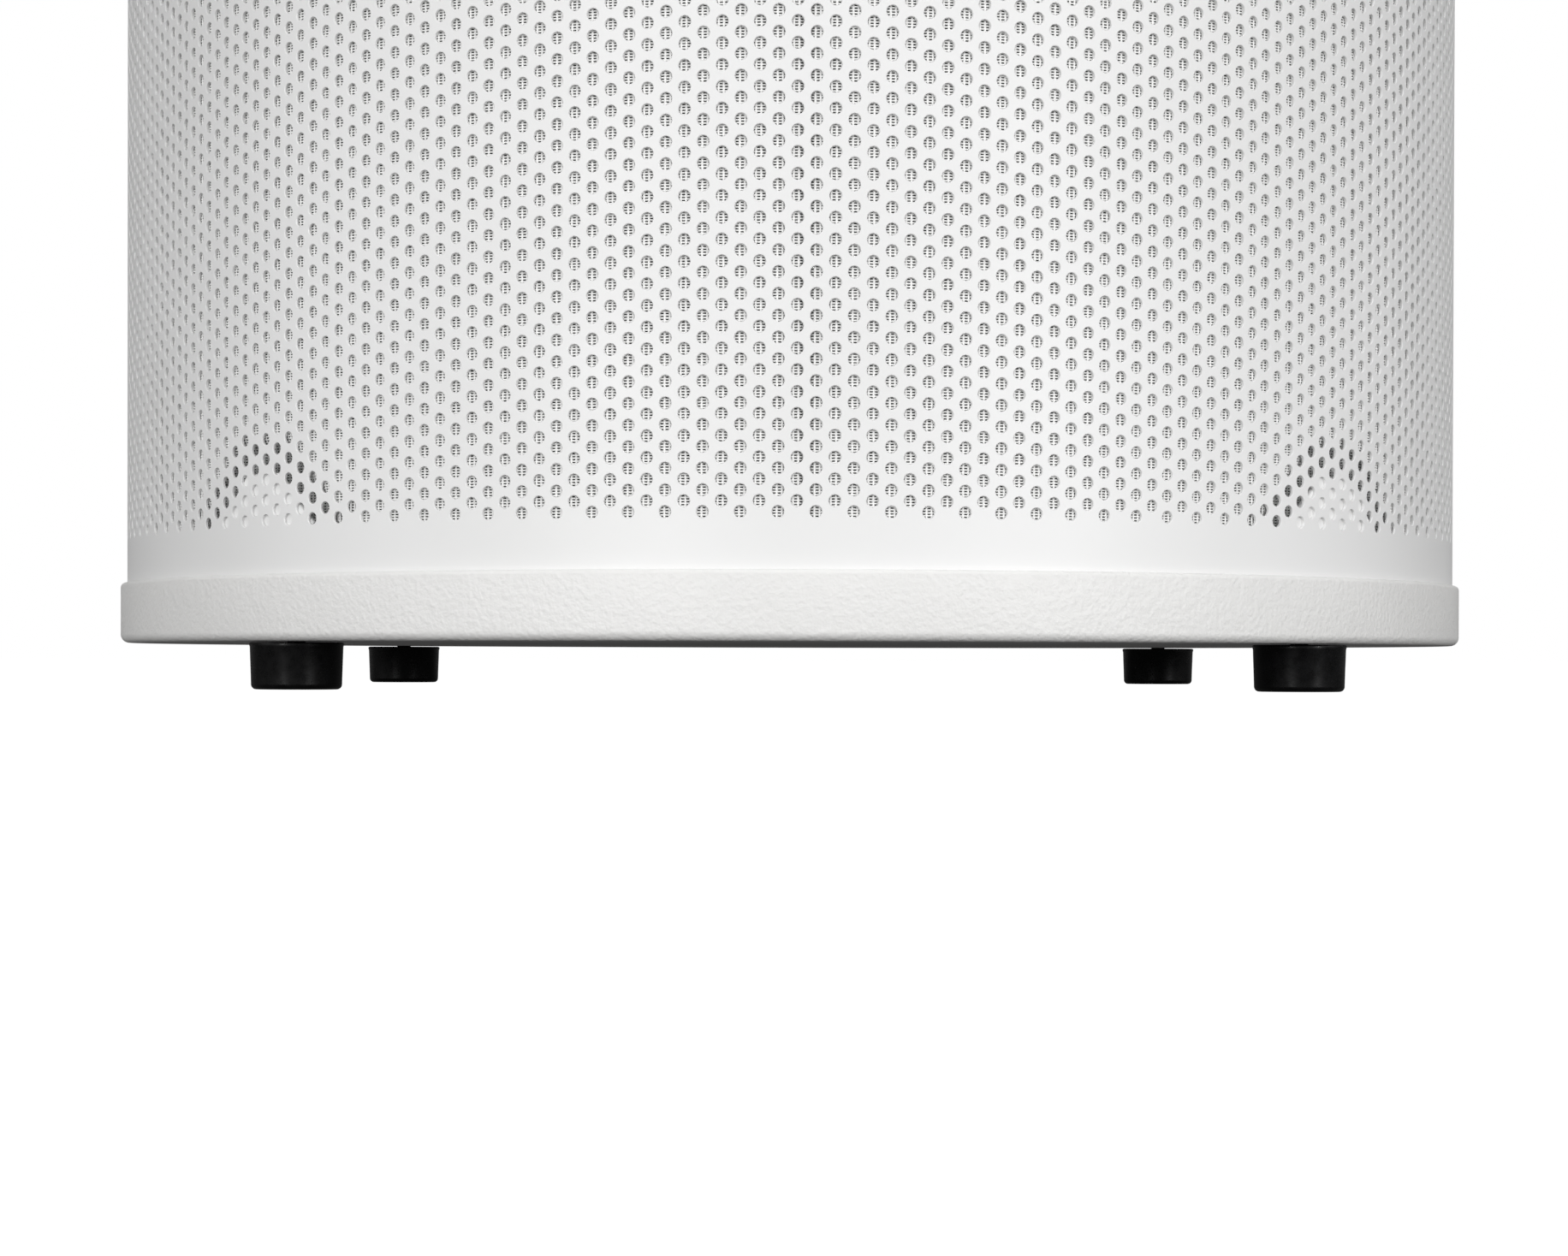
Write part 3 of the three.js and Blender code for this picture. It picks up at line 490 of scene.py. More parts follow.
def on_shell(patch, azimuths, heights, radius=SHELL_RADIUS):
    """Copies of a cell at the given azimuths and heights, as points, triangles and corner normals."""
    (across, up, depth), triangles, normals = patch[0].T, patch[1], patch[2]
    azimuths = np.asarray(azimuths, float)[:, None]
    heights = np.broadcast_to(heights, len(azimuths))[:, None]
    phi = azimuths + across / radius
    points = polar(radius - depth, phi, heights + up).reshape(-1, 3)
    copies = triangles + len(across) * np.arange(len(azimuths))[:, None, None]
    along, rise, outward = np.moveaxis(normals, -1, 0)
    at = phi[:, triangles]
    world = polar(outward, at, rise) + polar(along, at + QUARTER, 0)
    return points, copies.reshape(-1, 3), world.reshape(-1, 3)


def strip(azimuths, heights, way, inner=SHELL_INNER, outer=SHELL_RADIUS):
    """An edge of the sheet, between its two faces: a level one along azimuths, or an upright one along heights.
    It faces up or along the shell if way is 1, and down or back if way is -1."""
    upright = np.ndim(azimuths) == 0
    points = np.stack([polar(r, azimuths, heights) for r in (outer, inner)], 1).reshape(-1, 3)
    a = 2 * np.arange(len(points) // 2 - 1)
    b, c, d = (a + k for k in (2, 3, 1)[::way])
    triangles = np.concatenate([np.stack([a, b, c], -1), np.stack([a, c, d], -1)])
    normal = way * (polar(1, azimuths + QUARTER, 0) if upright else np.array([0, 0, 1]))
    return points, triangles, np.tile(normal, (3 * len(triangles), 1))


def sheet_object(parts, material):
    """One object from several sets of points, triangles and corner normals."""
    points, triangles, normals = zip(*parts)
    first = np.cumsum([0] + [len(p) for p in points])
    faces = [t + f for t, f in zip(triangles, first)]
    return mesh_object(np.concatenate(points), faces, material, np.concatenate(normals))


def rectangle(width, low, high, side_heights=(), top_stops=1):
    """An outline, anticlockwise from outside, with extra points up its sides and along its top and bottom."""
    across = np.linspace(-width / 2, width / 2, top_stops + 1)
    right = [(width / 2, z) for z in side_heights]
    left = [(-width / 2, z) for z in reversed(side_heights)]
    return [(u, low) for u in across] + right + [(u, high) for u in across[::-1]] + left


def round_rim(radius, sides, turn=0.0):
    """A round hole's rim, and the directions out from it."""
    angles = np.arange(sides) * TURN / sides + turn
    out = np.stack([np.cos(angles), np.sin(angles)], -1)
    return out * radius, out


def rounded_rim(half_width, half_height, radius, steps=4):
    """A rounded rectangle's rim, anticlockwise, and the directions out from it."""
    angles = np.radians(np.linspace(-90, 0, steps + 1) + 90 * np.arange(4)[:, None])
    out = np.stack([np.cos(angles), np.sin(angles)], -1)
    middles = np.array([(1, -1), (1, 1), (-1, 1), (-1, -1)]) * (half_width - radius, half_height - radius)
    return (middles[:, None] + radius * out).reshape(-1, 2), out.reshape(-1, 2)


def plain_cell(low, high, side_heights=()):
    """A patch with no hole, and with at most one point between the corners of each side."""
    return cell(rectangle(COLUMN * SHELL_RADIUS, low, high, side_heights))


def shell_panel(number):
    """One upright panel of the punched sheet, closed all round."""
    half = HOLE_PITCH / 2
    outline = rectangle(COLUMN * SHELL_RADIUS, -half, half, (0,))
    columns = np.arange(COLUMNS // PANELS) + number * (COLUMNS // PANELS)
    centres = (columns + 0.5) * COLUMN
    raised = columns % 2 == 1
    punched = ~np.isin(columns, SEAM_COLUMNS)
    heights = FIRST_HOLE + half * raised[:, None] + np.arange(ROWS) * HOLE_PITCH
    parts = [
        on_shell(patch, np.repeat(centres[group], ROWS), heights[group].ravel())
        for patch, group in ((cell(outline, *round_rim(HOLE_RADIUS, HOLE_SIDES)), punched),
                             (cell(outline), ~punched))
    ]
    boundaries = np.append(columns, columns[-1] + 1) * COLUMN
    sides = np.append(SHELL_LOW, HOLES_LOW + np.arange(2 * ROWS + 2) * half)
    parts += [
        on_shell(plain_cell(0, half), centres[raised], HOLES_LOW),
        on_shell(plain_cell(-half, 0), centres[~raised], HOLES_HIGH),
        on_shell(plain_cell(SHELL_LOW - HOLES_LOW, 0), centres, HOLES_LOW),
        strip(boundaries[0], sides, -1),
        strip(boundaries[-1], sides, 1),
        strip(boundaries, SHELL_LOW, -1),
        strip(boundaries, HOLES_HIGH, 1),
    ]
    finished(f"shell_panel_{number + 1:02d}", sheet_object(parts, SHELL_PAINT), "perforated_shell")


def upper_shell():
    """The unpunched part of the sheet, with the outlet slots across the front and the power inlet's hole."""
    slots, slot_low, slot_high, slot_half = 34, 456, 526, 2.5
    slot_middle, slot_columns, inlet_columns = (slot_low + slot_high) / 2, 4, 8
    bands = [HOLES_HIGH, 424, 454, 530, SHELL_HIGH]
    every = (np.arange(COLUMNS) + 0.5) * COLUMN
    front = np.minimum(every, TURN - every) < slots * slot_columns / 2 * COLUMN
    rear = np.abs(every - math.pi) < inlet_columns / 2 * COLUMN
    groups = [every, every[~rear], every[~front], every]
    parts = [on_shell(plain_cell(0, high - low), at, low) for low, high, at in zip(bands, bands[1:], groups)]
    slot = rounded_rim(slot_half, (slot_high - slot_low) / 2, slot_half - 0.01, 5)
    inlet = rounded_rim(14.5, 11.5, 1)
    slot_azimuths = (np.arange(slots) - (slots - 1) / 2) * slot_columns * COLUMN
    for columns, low, high, rim, azimuths, height in (
        (slot_columns, bands[2], bands[3], slot, slot_azimuths, slot_middle),
        (inlet_columns, bands[1], bands[2], inlet, [math.pi], INLET_HEIGHT),
    ):
        outline = rectangle(columns * COLUMN * SHELL_RADIUS, low - height, high - height, top_stops=columns)
        parts.append(on_shell(cell(outline, *rim, SLOT_EDGE), azimuths, height))
    boundaries = np.arange(COLUMNS + 1) * COLUMN
    parts += [strip(boundaries, HOLES_HIGH, -1), strip(boundaries, SHELL_HIGH, 1)]
    finished("shell_upper", sheet_object(parts, SHELL_PAINT), "perforated_shell")


for number in range(PANELS):
    shell_panel(number)
upper_shell()


# ---------------- pans, tabs, feet and screws

SHEET = 1.5
PAN_DEPTH = box("base_pan")[1][2] - PAN_LOW
PAN_RADIUS = node_ring("base_pan")[1]
FOOT_CIRCLE = 125.5 * math.sqrt(2)
SCREW_HOLE = 3
SCREW_RISE = 2.8  # of a screw's head
TAB_HEIGHT, TAB_LIFT = 39.5, 13.8  # of the lower tabs
TAB_HALF, TAB_TOP_HALF = 19, 6.5  # half a tongue's width, and what its chamfers leave of it


def pan_profile():
    """A pan's section with its floor at height 0: a drawn bottom bend and a rolled lip."""
    rim = PAN_RADIUS - SHEET
    return (
        [(0, 0), (PAN_RADIUS * 0.5, 0), (PAN_RADIUS - 6, 0)]
        + corner(PAN_RADIUS, 0, 2.3, -90, 8)
        + [(PAN_RADIUS, PAN_DEPTH / 2)]
        + corner(PAN_RADIUS, PAN_DEPTH, 1.1, 0, 7)
        + [(rim, PAN_DEPTH - 0.03)]
        + arc(rim - 0.9, SHEET + 0.9, 0.9, 0, -90, 4)
        + [(PAN_RADIUS - 8, SHEET), (PAN_RADIUS * 0.5, SHEET), (0, SHEET)]
    )


def at_corners(radius):
    """Each corner's name, its azimuth in degrees, and its (x, y) at a radius."""
    for name, azimuth in CORNERS.items():
        yield name, azimuth, polar(radius, math.radians(azimuth), 0)[:2]


def upright_pin(place, radius, low, high, segments=24):
    return lathe([(0, low), (radius, low), (radius, high), (0, high)], PAN_PAINT, segments, place)


def corner_pins(circle, radius, low, high):
    return [upright_pin(place, radius, low, high) for _, _, place in at_corners(circle)]


def corner_tab(azimuth, height, lift, hanging=False):
    """A sheet-steel angle: a curved tongue with chamfered corners, and a foot plate that carries a weld nut."""
    outer = SHELL_INNER - 0.05
    inner = outer - SHEET
    ease = 0.35
    slope = np.linspace(TAB_TOP_HALF, TAB_HALF, 7)
    along = np.concatenate([-slope[::-1], np.linspace(-TAB_TOP_HALF, TAB_TOP_HALF, 7)[1:-1], slope])
    top = height - np.clip(np.abs(along) - TAB_TOP_HALF, 0, None)
    section = [(inner, 0), (outer, 0), (outer, top - ease), (outer - ease, top), (inner + ease, top),
               (inner, top - ease)]
    points = np.stack([polar(r, along / outer + QUARTER, z) for r, z in section], 1).reshape(-1, 3)
    last = 6 * (len(along) - 1)
    quads = [band(i + 6, i, 6) for i in range(0, last, 6)]
    caps = [np.arange(6), last + np.arange(6)[::-1]]
    tongue = mesh_object(points, [*quads, caps], TAB_PAINT, sharp=40)
    plate = rounded_box((170, -13, 0), (inner + 0.2, 13, SHEET), TAB_PAINT, 0.3)
    nut = [(3, SHEET * 0.6), (5.5, SHEET * 0.6), (5.5, SHEET + 2.9), (4.9, SHEET + 3.5), (3.4, SHEET + 3.5),
           (3, SHEET + 3)]
    nut = lathe(nut, ZINC, 6, (FOOT_CIRCLE, 0))
    boolean_cut(plate, [upright_pin((FOOT_CIRCLE, 0), SCREW_HOLE, -2, 3)])
    tab = moved(joined([tongue, plate, nut]), (0, 0, lift), 180 if hanging else 0, "X")
    return moved(tab, degrees=azimuth - 90)


def foot(place):
    """A rubber buffer: tapered, with rounded edges and a recess for its screw."""
    bore, recess_top, radius, top = 2.8, 6, 11.75, PAN_LOW - 0.25
    profile = (
        [(bore, recess_top)]
        + arc(5.5, recess_top - 0.5, 0.5, 90, 0, 3)
        + corner(6, 0, 0.5, 180)
        + arc(9.95, 1.3, 1.3, -90, 3, 6)
        + [(radius - 0.2, top - 1.2)]
        + corner(radius, top, 0.5, 0)
        + [(bore, top)]
    )
    return lathe(profile, RUBBER, 64, place)


def cross_recess(long, short, low, high, rounding):
    """The two cutters of a screw head's cross."""
    return [rounded_box((-x, -y, low), (x, y, high), ZINC, rounding, 1) for x, y in ((long, short), (short, long))]


def phillips_screw(length, place, upwards):
    """A pan-head screw with a cross recess and thread rings. place is the middle of its head's bearing face."""
    rise, shank, pitch = SCREW_RISE, 2.4, 0.8
    profile = [(0, -rise), (1.6, 0.03 - rise), (3.2, 0.35 - rise), (4.1, 0.95 - rise), (4.5, 1.7 - rise),
               (4.6, -0.35), (4.4, 0), (shank, 0)]
    z = 1.2
    while z < length - rise - 1.5:
        profile += [(shank, z), (shank - 0.35, z + pitch * 0.45), (shank, z + pitch * 0.9)]
        z += pitch
    profile += [(shank, z), (shank - 0.8, length - rise), (0, length - rise)]
    screw = boolean_cut(lathe(profile, ZINC, 32, sharp=30), cross_recess(2.3, 0.42, -rise - 1, 1.5 - rise, 0.1))
    return moved(screw, place, 0 if upwards else 180, "X")


def base_pan():
    pan = lathe([(r, z + PAN_LOW) for r, z in pan_profile()], PAN_PAINT, 192)
    holes = corner_pins(FOOT_CIRCLE, SCREW_HOLE, PAN_LOW - 2, PAN_LOW + 4)
    finished("pan_pressing", boolean_cut(pan, holes), "base_pan", "base")
    bearing = box("foot_screw_front_left")[0][2] + SCREW_RISE
    for name, azimuth, (x, y) in at_corners(FOOT_CIRCLE):
        finished(f"tab_{name}", corner_tab(azimuth, TAB_HEIGHT, TAB_LIFT), f"shell_tab_{name}")
        finished(f"rubber_foot_{name}", foot((x, y)), f"foot_{name}", "base")
        screw = phillips_screw(17, (x, y, bearing), True)
        finished(f"pan_screw_{name}", screw, f"foot_screw_{name}", "base")


base_pan()


# ---------------- prefilter

NET_RADIUS = SHELL_INNER - 0.16
NET_LOW, NET_HIGH = 22, 396
NET_PITCH = HOLE_PITCH / 7.5  # between strands round the shell
ROUND_STRAND = 0.43
UP_STRAND = 0.58
UP_STRANDS = 238  # in a quarter
PUSHED_BACK = 2  # by a tab, wholly up to the near distance from it and not at all from the far one
NEAR, FAR = 5, 10
FINE_TOP = 66  # the net has more points below this, where the tabs shape it


def outside_tab(along, height):
    """How far a point on the shell is outside the nearest tab's tongue. Negative is over it."""
    along, above = np.abs(along), height - (TAB_LIFT + TAB_HEIGHT)
    chamfer = (along + above - TAB_TOP_HALF) / math.sqrt(2)
    return np.maximum(np.maximum(along - TAB_HALF, above), chamfer)


def net_radius(azimuth, height):
    """The net lies against the shell, and is pressed back round the tabs, which stand midway in each quarter."""
    from_corner = azimuth % QUARTER - math.pi / 4
    press = np.clip((FAR - outside_tab(from_corner * SHELL_RADIUS, height)) / (FAR - NEAR), 0, 1)
    return NET_RADIUS - PUSHED_BACK * press * press * (3 - 2 * press)


def ribbon(azimuths, heights, radii, upright, half):
    """Strands through grids of points, each (strands, points along). A strand is a bar with four sides, and half is
    half its width: round the shell if it is upright, otherwise up it."""
    depth = 0.6 * half
    turn, rise = (half / NET_RADIUS, 0) if upright else (0, half)
    corners = [polar(radii - back * depth, azimuths + side * turn, heights + side * rise)
               for side, back in ((-1, 0.35), (0, -0.65), (1, 0.35), (0, 1.6))]
    index = np.arange(4 * azimuths.size).reshape(*azimuths.shape, 4)
    here, following = index[:, :-1], index[:, 1:]
    way = -1 if upright else 1
    quads = [np.stack([here[..., a], following[..., a], following[..., b], here[..., b]][::way], -1).reshape(-1, 4)
             for a, b in ((0, 1), (1, 2), (2, 3), (3, 0))]
    return np.stack(corners, 2).reshape(-1, 3), quads + [index[:, 0, ::way], index[:, -1, ::-way]]


def net_quarter(number, name):
    """A quarter of the net that faces the prefilter: strands round the shell and strands up it."""
    start, middle, end = ((number + share) * QUARTER for share in (0, 0.5, 1))
    fine = 27 / SHELL_RADIUS
    stops = np.concatenate([np.linspace(start, middle - fine, 13)[:-1], np.linspace(middle - fine, middle + fine, 37),
                            np.linspace(middle + fine, end, 13)[1:]])
    levels = np.arange(NET_LOW + NET_PITCH / 2, NET_HIGH, NET_PITCH)
    coarse = np.linspace(start, end, 27)
    pieces = []
    for rows, columns in ((levels[levels < FINE_TOP], stops), (levels[levels >= FINE_TOP], coarse)):
        azimuths, heights = np.meshgrid(columns, rows)
        # A knitted net is never quite even.
        heights = heights + 0.05 * np.sin(azimuths * 61 + heights * 9) * np.sin(azimuths * 23 + number)
        pieces.append(ribbon(azimuths, heights, net_radius(azimuths, heights), False, ROUND_STRAND / 2))
    columns = start + (np.arange(UP_STRANDS) + 0.5) * QUARTER / UP_STRANDS
    rows = np.concatenate([np.arange(NET_LOW, FINE_TOP, 1.8), [FINE_TOP, NET_HIGH]])
    heights, azimuths = np.meshgrid(rows, columns)
    pieces.append(ribbon(azimuths, heights, net_radius(azimuths, heights) - 0.06, True, UP_STRAND / 2))
    firsts = np.cumsum([0] + [len(points) for points, _ in pieces])
    faces = [f + first for (_, polygons), first in zip(pieces, firsts) for f in polygons]
    net = mesh_object(np.concatenate([points for points, _ in pieces]), faces, NET)
    finished(f"net_{name}", net, "prefilter_wrap")


def fibre_wrap():
    """The prefilter's fibre body, a thick blanket with an uneven face."""
    levels = np.linspace(NET_LOW, NET_HIGH, 90)
    profile = [(184.4, z) for z in levels] + [(180.5, z) for z in levels[::-1]]
    wrap = lathe(profile, FIBRE, 180)
    points = mesh_points(wrap.data)
    x, y, z = points.T
    phi = np.arctan2(y, x)
    push_out(wrap, points, 0.22 * np.sin(phi * 31 + z * 0.14) * np.sin(z * 0.21 + phi * 17))
    finished("fibre_blanket", wrap, "prefilter_wrap")


for number, name in enumerate(("front_right", "rear_right", "rear_left", "front_left")):
    net_quarter(number, name)
fibre_wrap()


# ---------------- filters


def seal(name, node, body, rounding):
    """A foam ring in the place of a CAD ring."""
    inner, outer, low, high = node_ring(node)
    r = min(rounding, (outer - inner) * 0.45, (high - low) * 0.45)
    turns = (outer, low, -90), (outer, high, 0), (inner, high, 90), (inner, low, 180)
    profile = [point for x, z, start in turns for point in corner(x, z, r, start, 4)]
    finished(name, lathe(profile, FOAM, 128), node, body)


def end_cap(name, node, upwards):
    """A moulded urethane end cap: a shallow channel that the pleats stand in, with a sealing bead outside."""
    inner, outer, low, high = node_ring(node)
    height, middle, bead = high - low, (inner + outer) / 2, 1.6
    section = (
        corner(outer, 0, 1, -90)
        + corner(outer, height, 0.8, 0)
        + [(outer - 2.2, height), (outer - 2.6, height - 1.2), (inner + 2.6, height - 1.2), (inner + 2.2, height)]
        + corner(inner, height, 0.8, 90)
        + corner(inner, 0, 1, 180)
        + [(middle - 2 * bead, 0.9), (middle - bead, 0.9)]
        + arc(middle, 0.9, 0.9, 180, 360)
        + [(middle + bead, 0.9), (middle + 2 * bead, 0.9)]
    )
    profile = [(r, low + z if upwards else high - z) for r, z in section]
    finished(name, lathe(profile, URETHANE, 144), node, "base")


def pleated_paper():
    """The particle filter's paper, folded into close pleats with rounded tips."""
    low, high = z_range("hepa_pleats")
    pleats, outer, inner, paper = 164, 163.4, 141.5, 0.5
    tip = 0.3  # share of a half pleat's angle that its rounded tip takes
    fold = np.arange(2 * pleats)[:, None]
    azimuths = ((fold + np.array([-tip, -tip * 0.4, tip * 0.4, tip])) * math.pi / pleats).ravel() + QUARTER
    drops = np.array([0.9, 0.25, 0.25, 0.9])
    radii = np.where(fold % 2, inner + drops, outer - drops).ravel()
    levels = np.linspace(low, high, 9)
    points = np.concatenate([polar(radii + side * paper / 2, azimuths, z) for z in levels for side in (1, -1)])
    count = len(radii)
    top = 2 * count * (len(levels) - 1)
    faces = [band(count, 0, count), band(top, top + count, count)]
    for a in range(0, top, 2 * count):
        faces += [band(a, a + 2 * count, count), band(a + 3 * count, a + count, count)]
    finished("pleated_paper", mesh_object(points, faces, PAPER, sharp=60), "hepa_pleats", "base")


def punched_tube(name, node, columns, hole_radius=2.9):
    """A punched tube in the place of a plain CAD one, with a blank hem at both ends."""
    inner, outer, low, high = node_ring(node)
    width = TURN / columns
    pitch = width * outer / math.cos(math.radians(30))
    half, least_hem = pitch / 2, 7
    rows = int((high - low - 2 * least_hem) / pitch)
    start = (low + high - rows * pitch) / 2
    count = rows - 1
    centres = (np.arange(columns) + 0.5) * width
    lifted = np.arange(columns) % 2 == 1
    outline = rectangle(width * outer, -half, half, (0,))
    hole = cell(outline, *round_rim(hole_radius, 8, math.pi / 8), 0.1, outer - inner)
    heights = start + half + half * lifted[:, None] + np.arange(count) * pitch
    parts = [on_shell(hole, np.repeat(centres, count), heights.ravel(), outer)]
    for group, rise, low_stop, high_stop in ((lifted, half, (-half,), ()), (~lifted, 0, (), (half,))):
        below, above = start + rise, start + count * pitch + rise
        for end, span, stop in ((below, (low - below, 0), low_stop), (above, (0, high - above), high_stop)):
            hem = cell(rectangle(width * outer, *span, stop), thickness=outer - inner)
            parts.append(on_shell(hem, centres[group], end, outer))
    boundaries = np.arange(columns + 1) * width
    parts += [strip(boundaries, low, -1, inner, outer), strip(boundaries, high, 1, inner, outer)]
    finished(name, sheet_object(parts, GALVANISED), node, "base")


def granules():
    """The carbon bed, whose faces are the outermost granules' lumpy skin."""
    inner, outer, low, high = node_ring("carbon_bed")
    levels = np.linspace(low, high, 120)
    profile = [(outer - 0.3, z) for z in levels] + [(inner + 0.9, z) for z in levels[::-1]]
    bed = lathe(profile, CARBON, 240, sharp=70)
    points = mesh_points(bed.data)
    push_out(bed, points, np.random.default_rng(7).uniform(-0.5, 0.3, len(points)))
    finished("carbon_granules", bed, "carbon_bed", "base")


def canister_plates():
    """The canister's end plates, with pressed grooves, and the strap that lifts it out."""
    inner, outer, low, high = node_ring("canister_top_cap")
    profile = (
        corner(outer, low, 0.7, -90)
        + corner(outer, high, 0.7, 0)
        + [(outer - 14, high), (outer - 16, high - 0.9), (outer - 22, high - 0.9), (outer - 24, high)]
        + corner(inner, high, 0.7, 90)
        + corner(inner, low, 0.7, 180)
    )
    finished("canister_top_plate", lathe(profile, GALVANISED, 144), "canister_top_cap", "base")
    _, outer, low, high = node_ring("canister_bottom_cap")
    profile = (
        [(0, low)]
        + corner(outer, low, 0.7, -90)
        + corner(outer, high, 0.7, 0)
        + [(70, high), (68, high - 0.8), (40, high - 0.8), (38, high), (0, high)]
    )
    finished("canister_floor_plate", lathe(profile, GALVANISED, 144), "canister_bottom_cap", "base")
    low, high = box("canister_handle")
    top = high[2]
    rivet = [(0, top - 0.5), (3.4, top - 0.5), (3.2, top + 0.5), (2, top + 1.2), (0, top + 1.4)]
    pieces = [rounded_box(low, high, GALVANISED, 0.5)]
    pieces += [lathe(rivet, ZINC, 20, (x, 0)) for x in (low[0] + 9, high[0] - 9)]
    finished("canister_strap", pieces, "canister_handle", "base")


seal("base_seal", "base_gasket", "base", 1.5)
seal("deck_seal", "top_gasket", "housing", 2.5)
end_cap("lower_end_cap", "hepa_bottom_cap", True)
end_cap("upper_end_cap", "hepa_top_cap", False)
pleated_paper()
punched_tube("canister_outer_screen", "canister_outer_wall", 90)
punched_tube("canister_core_screen", "canister_inner_wall", 60)
granules()
canister_plates()


# ---------------- blower


def deck_and_inlet():
    inner, outer, low, high = node_ring("blower_deck")
    flat = 165
    profile = (
        corner(outer, low, 0.6, -90)
        + corner(outer, high, 0.6, 0)
        + [(flat, high), (inner + 0.4, high), (inner, high - 0.4)]
        + [(inner, low + 0.4), (inner + 0.4, low), (flat, low)]
    )
    deck = lathe(profile, GALVANISED, 160)
    finished("deck_sheet", boolean_cut(deck, corner_pins(119, 2.2, low - 2, high + 2)), "blower_deck")
    _, flange, low, high = node_ring("inlet_ring")
    throat, sheet = 72, 1.2
    bell = [(throat + 14 * (1 - math.cos(a)), high - 17 * math.sin(a) - 0.2) for a in np.linspace(0, QUARTER, 12)]
    outside = [(flange, low), (flange, low + sheet), (throat + 15, low + sheet + 0.6)]
    outside += [(r + sheet, z + 0.2) for r, z in bell[::-1] if z > low + 3]
    finished("bell_mouth", lathe(bell + outside, ALUMINIUM, 128, sharp=50), "inlet_ring")


def blade(turn):
    """A backward-curved blade of moulded plastic, 2 mm thick, on a curve with rounded ends."""
    share = np.linspace(0, 1, 14)[:, None]
    line = (1 - share) ** 2 * (82, 0) + 2 * share * (1 - share) * (108.5, 11.5) + share ** 2 * (119, 43.5)
    along = np.gradient(line, axis=0)
    across = along @ [[0, 1], [-1, 0]] / np.hypot(*along.T)[:, None]
    half = 0.95 * np.clip(np.minimum(share, 1 - share) * 12, 0.35, 1)
    loop = np.concatenate([line + across * half, (line - across * half)[::-1]])
    loop = loop @ [[math.cos(turn), math.sin(turn)], [-math.sin(turn), math.cos(turn)]]
    count = len(loop)
    points = np.concatenate([np.insert(loop, 2, z, 1) for z in (434.6, 489)])
    a = np.arange(len(share) - 1)
    bottom = np.stack([a, a + 1, count - 2 - a, count - 1 - a], -1)
    return mesh_object(points, [band(count, 0, count), bottom, bottom[:, ::-1] + count], BLACK, sharp=40)


def round_axis(profile, segments, circle, number):
    """Small turned pieces of zinc on a circle round the axis."""
    return [lathe(profile, ZINC, segments, polar(circle, a + QUARTER, 0))
            for a in np.arange(number) * TURN / number]


def wheel():
    """The moulded impeller: a curved shroud with the eye, a ribbed back plate, seven blades and six rivets."""
    shroud = [(76.2, 424), (77, 423.8), (78, 424.4), (79.4, 428.6), (83, 432), (92, 434.6), (110, 438.4), (130, 442),
              (130.4, 443), (130, 444), (110, 440.4), (91, 436.5), (81, 433.6), (77, 429.4)]
    back = [(20, 488), (48, 488), (50, 487.4), (54, 487.4), (56, 488), (129.2, 488), (130, 488.8), (130, 489.4),
            (129.4, 490), (20.4, 490), (20, 489.6)]
    rivet = [(0, 489.6), (3, 489.6), (2.9, 490.3), (2, 490.9), (0, 491)]
    pieces = [lathe(shroud, BLACK, 128, sharp=50), lathe(back, BLACK, 128)]
    pieces += [blade(TURN * i / 7) for i in range(7)] + round_axis(rivet, 16, 34, 6)
    finished("blower_wheel", pieces, "impeller", "wheel")


def motor():
    """An external-rotor motor: a finned, cast rotor cup and its shaft, round a stator on a bolted flange."""
    rotor = [(0, 446), (30, 446), (34, 446.3)] + arc(43, 449.2, 3, -85, 0)
    for z in range(455, 477, 6):
        rotor += [(46, z), (45.1, z + 0.6), (45.1, z + 1.8), (46, z + 2.4)]
    rotor += [(46, 487.2), (45.5, 487.7), (43.4, 487.7), (43, 487.3), (43, 450), (42, 449), (7, 449), (7, 450.4),
              (4, 450.4), (4, 497.2), (3.5, 497.7), (0, 497.7)]
    finished("rotor_cup", lathe(rotor, ALUMINIUM, sharp=30), "motor_rotor", "wheel")
    stator = [(4.5, 451.6), (41.7, 451.6), (42.2, 452.1), (42.2, 483.5), (41.7, 484), (15, 484), (15, 492),
              (41.4, 492), (42.2, 492.8), (42.2, 499.1), (41.6, 499.7), (34, 499.7), (33.4, 498.9), (14, 498.9),
              (13.4, 499.7), (4.5, 499.7)]
    finished("stator_core", lathe(stator, ALUMINIUM, sharp=30), "motor_stator")


def bolt(low, radius, rise, ease):
    """The profile of a bolt's head, a little sunk into the face at low."""
    top = low + rise
    return [(0, low - 0.4), (radius, low - 0.4), (radius, top - ease), (radius - ease, top), (0, top)]


def bracket():
    """A cross of folded sheet steel on four turned legs, with the motor's four bolts."""
    low, high, leg_low = 500, 502.5, 409.8
    middle = [(0, low)] + corner(60, low, 0.5, -90) + corner(60, high, 0.5, 0) + [(0, high)]
    leg = [(0, leg_low), (5.1, leg_low), (5.5, leg_low + 0.4), (5.5, low + 0.6), (0, low + 0.6)]
    pieces = [lathe(middle, GALVANISED)]
    for degrees in (45, 135):
        strips = [rounded_box((-161, -15, low + 0.05), (161, 15, high - 0.05), GALVANISED, 0.5)]
        strips += [rounded_box((x, -2.5, high - 0.8), (x + 76, 2.5, high + 1.2), GALVANISED, 0.9)
                   for x in (-140, 64)]
        pieces += [moved(piece, degrees=degrees) for piece in strips]
    for _, _, place in at_corners(152):
        pieces += [lathe(leg, ZINC, 32, place), lathe(bolt(high, 5.5, 3.5, 0.7), ZINC, 6, place)]
    pieces += round_axis(bolt(high, 3.6, 2.4, 0.6), 6, 24, 4)
    finished("motor_cross", pieces, "motor_bracket")


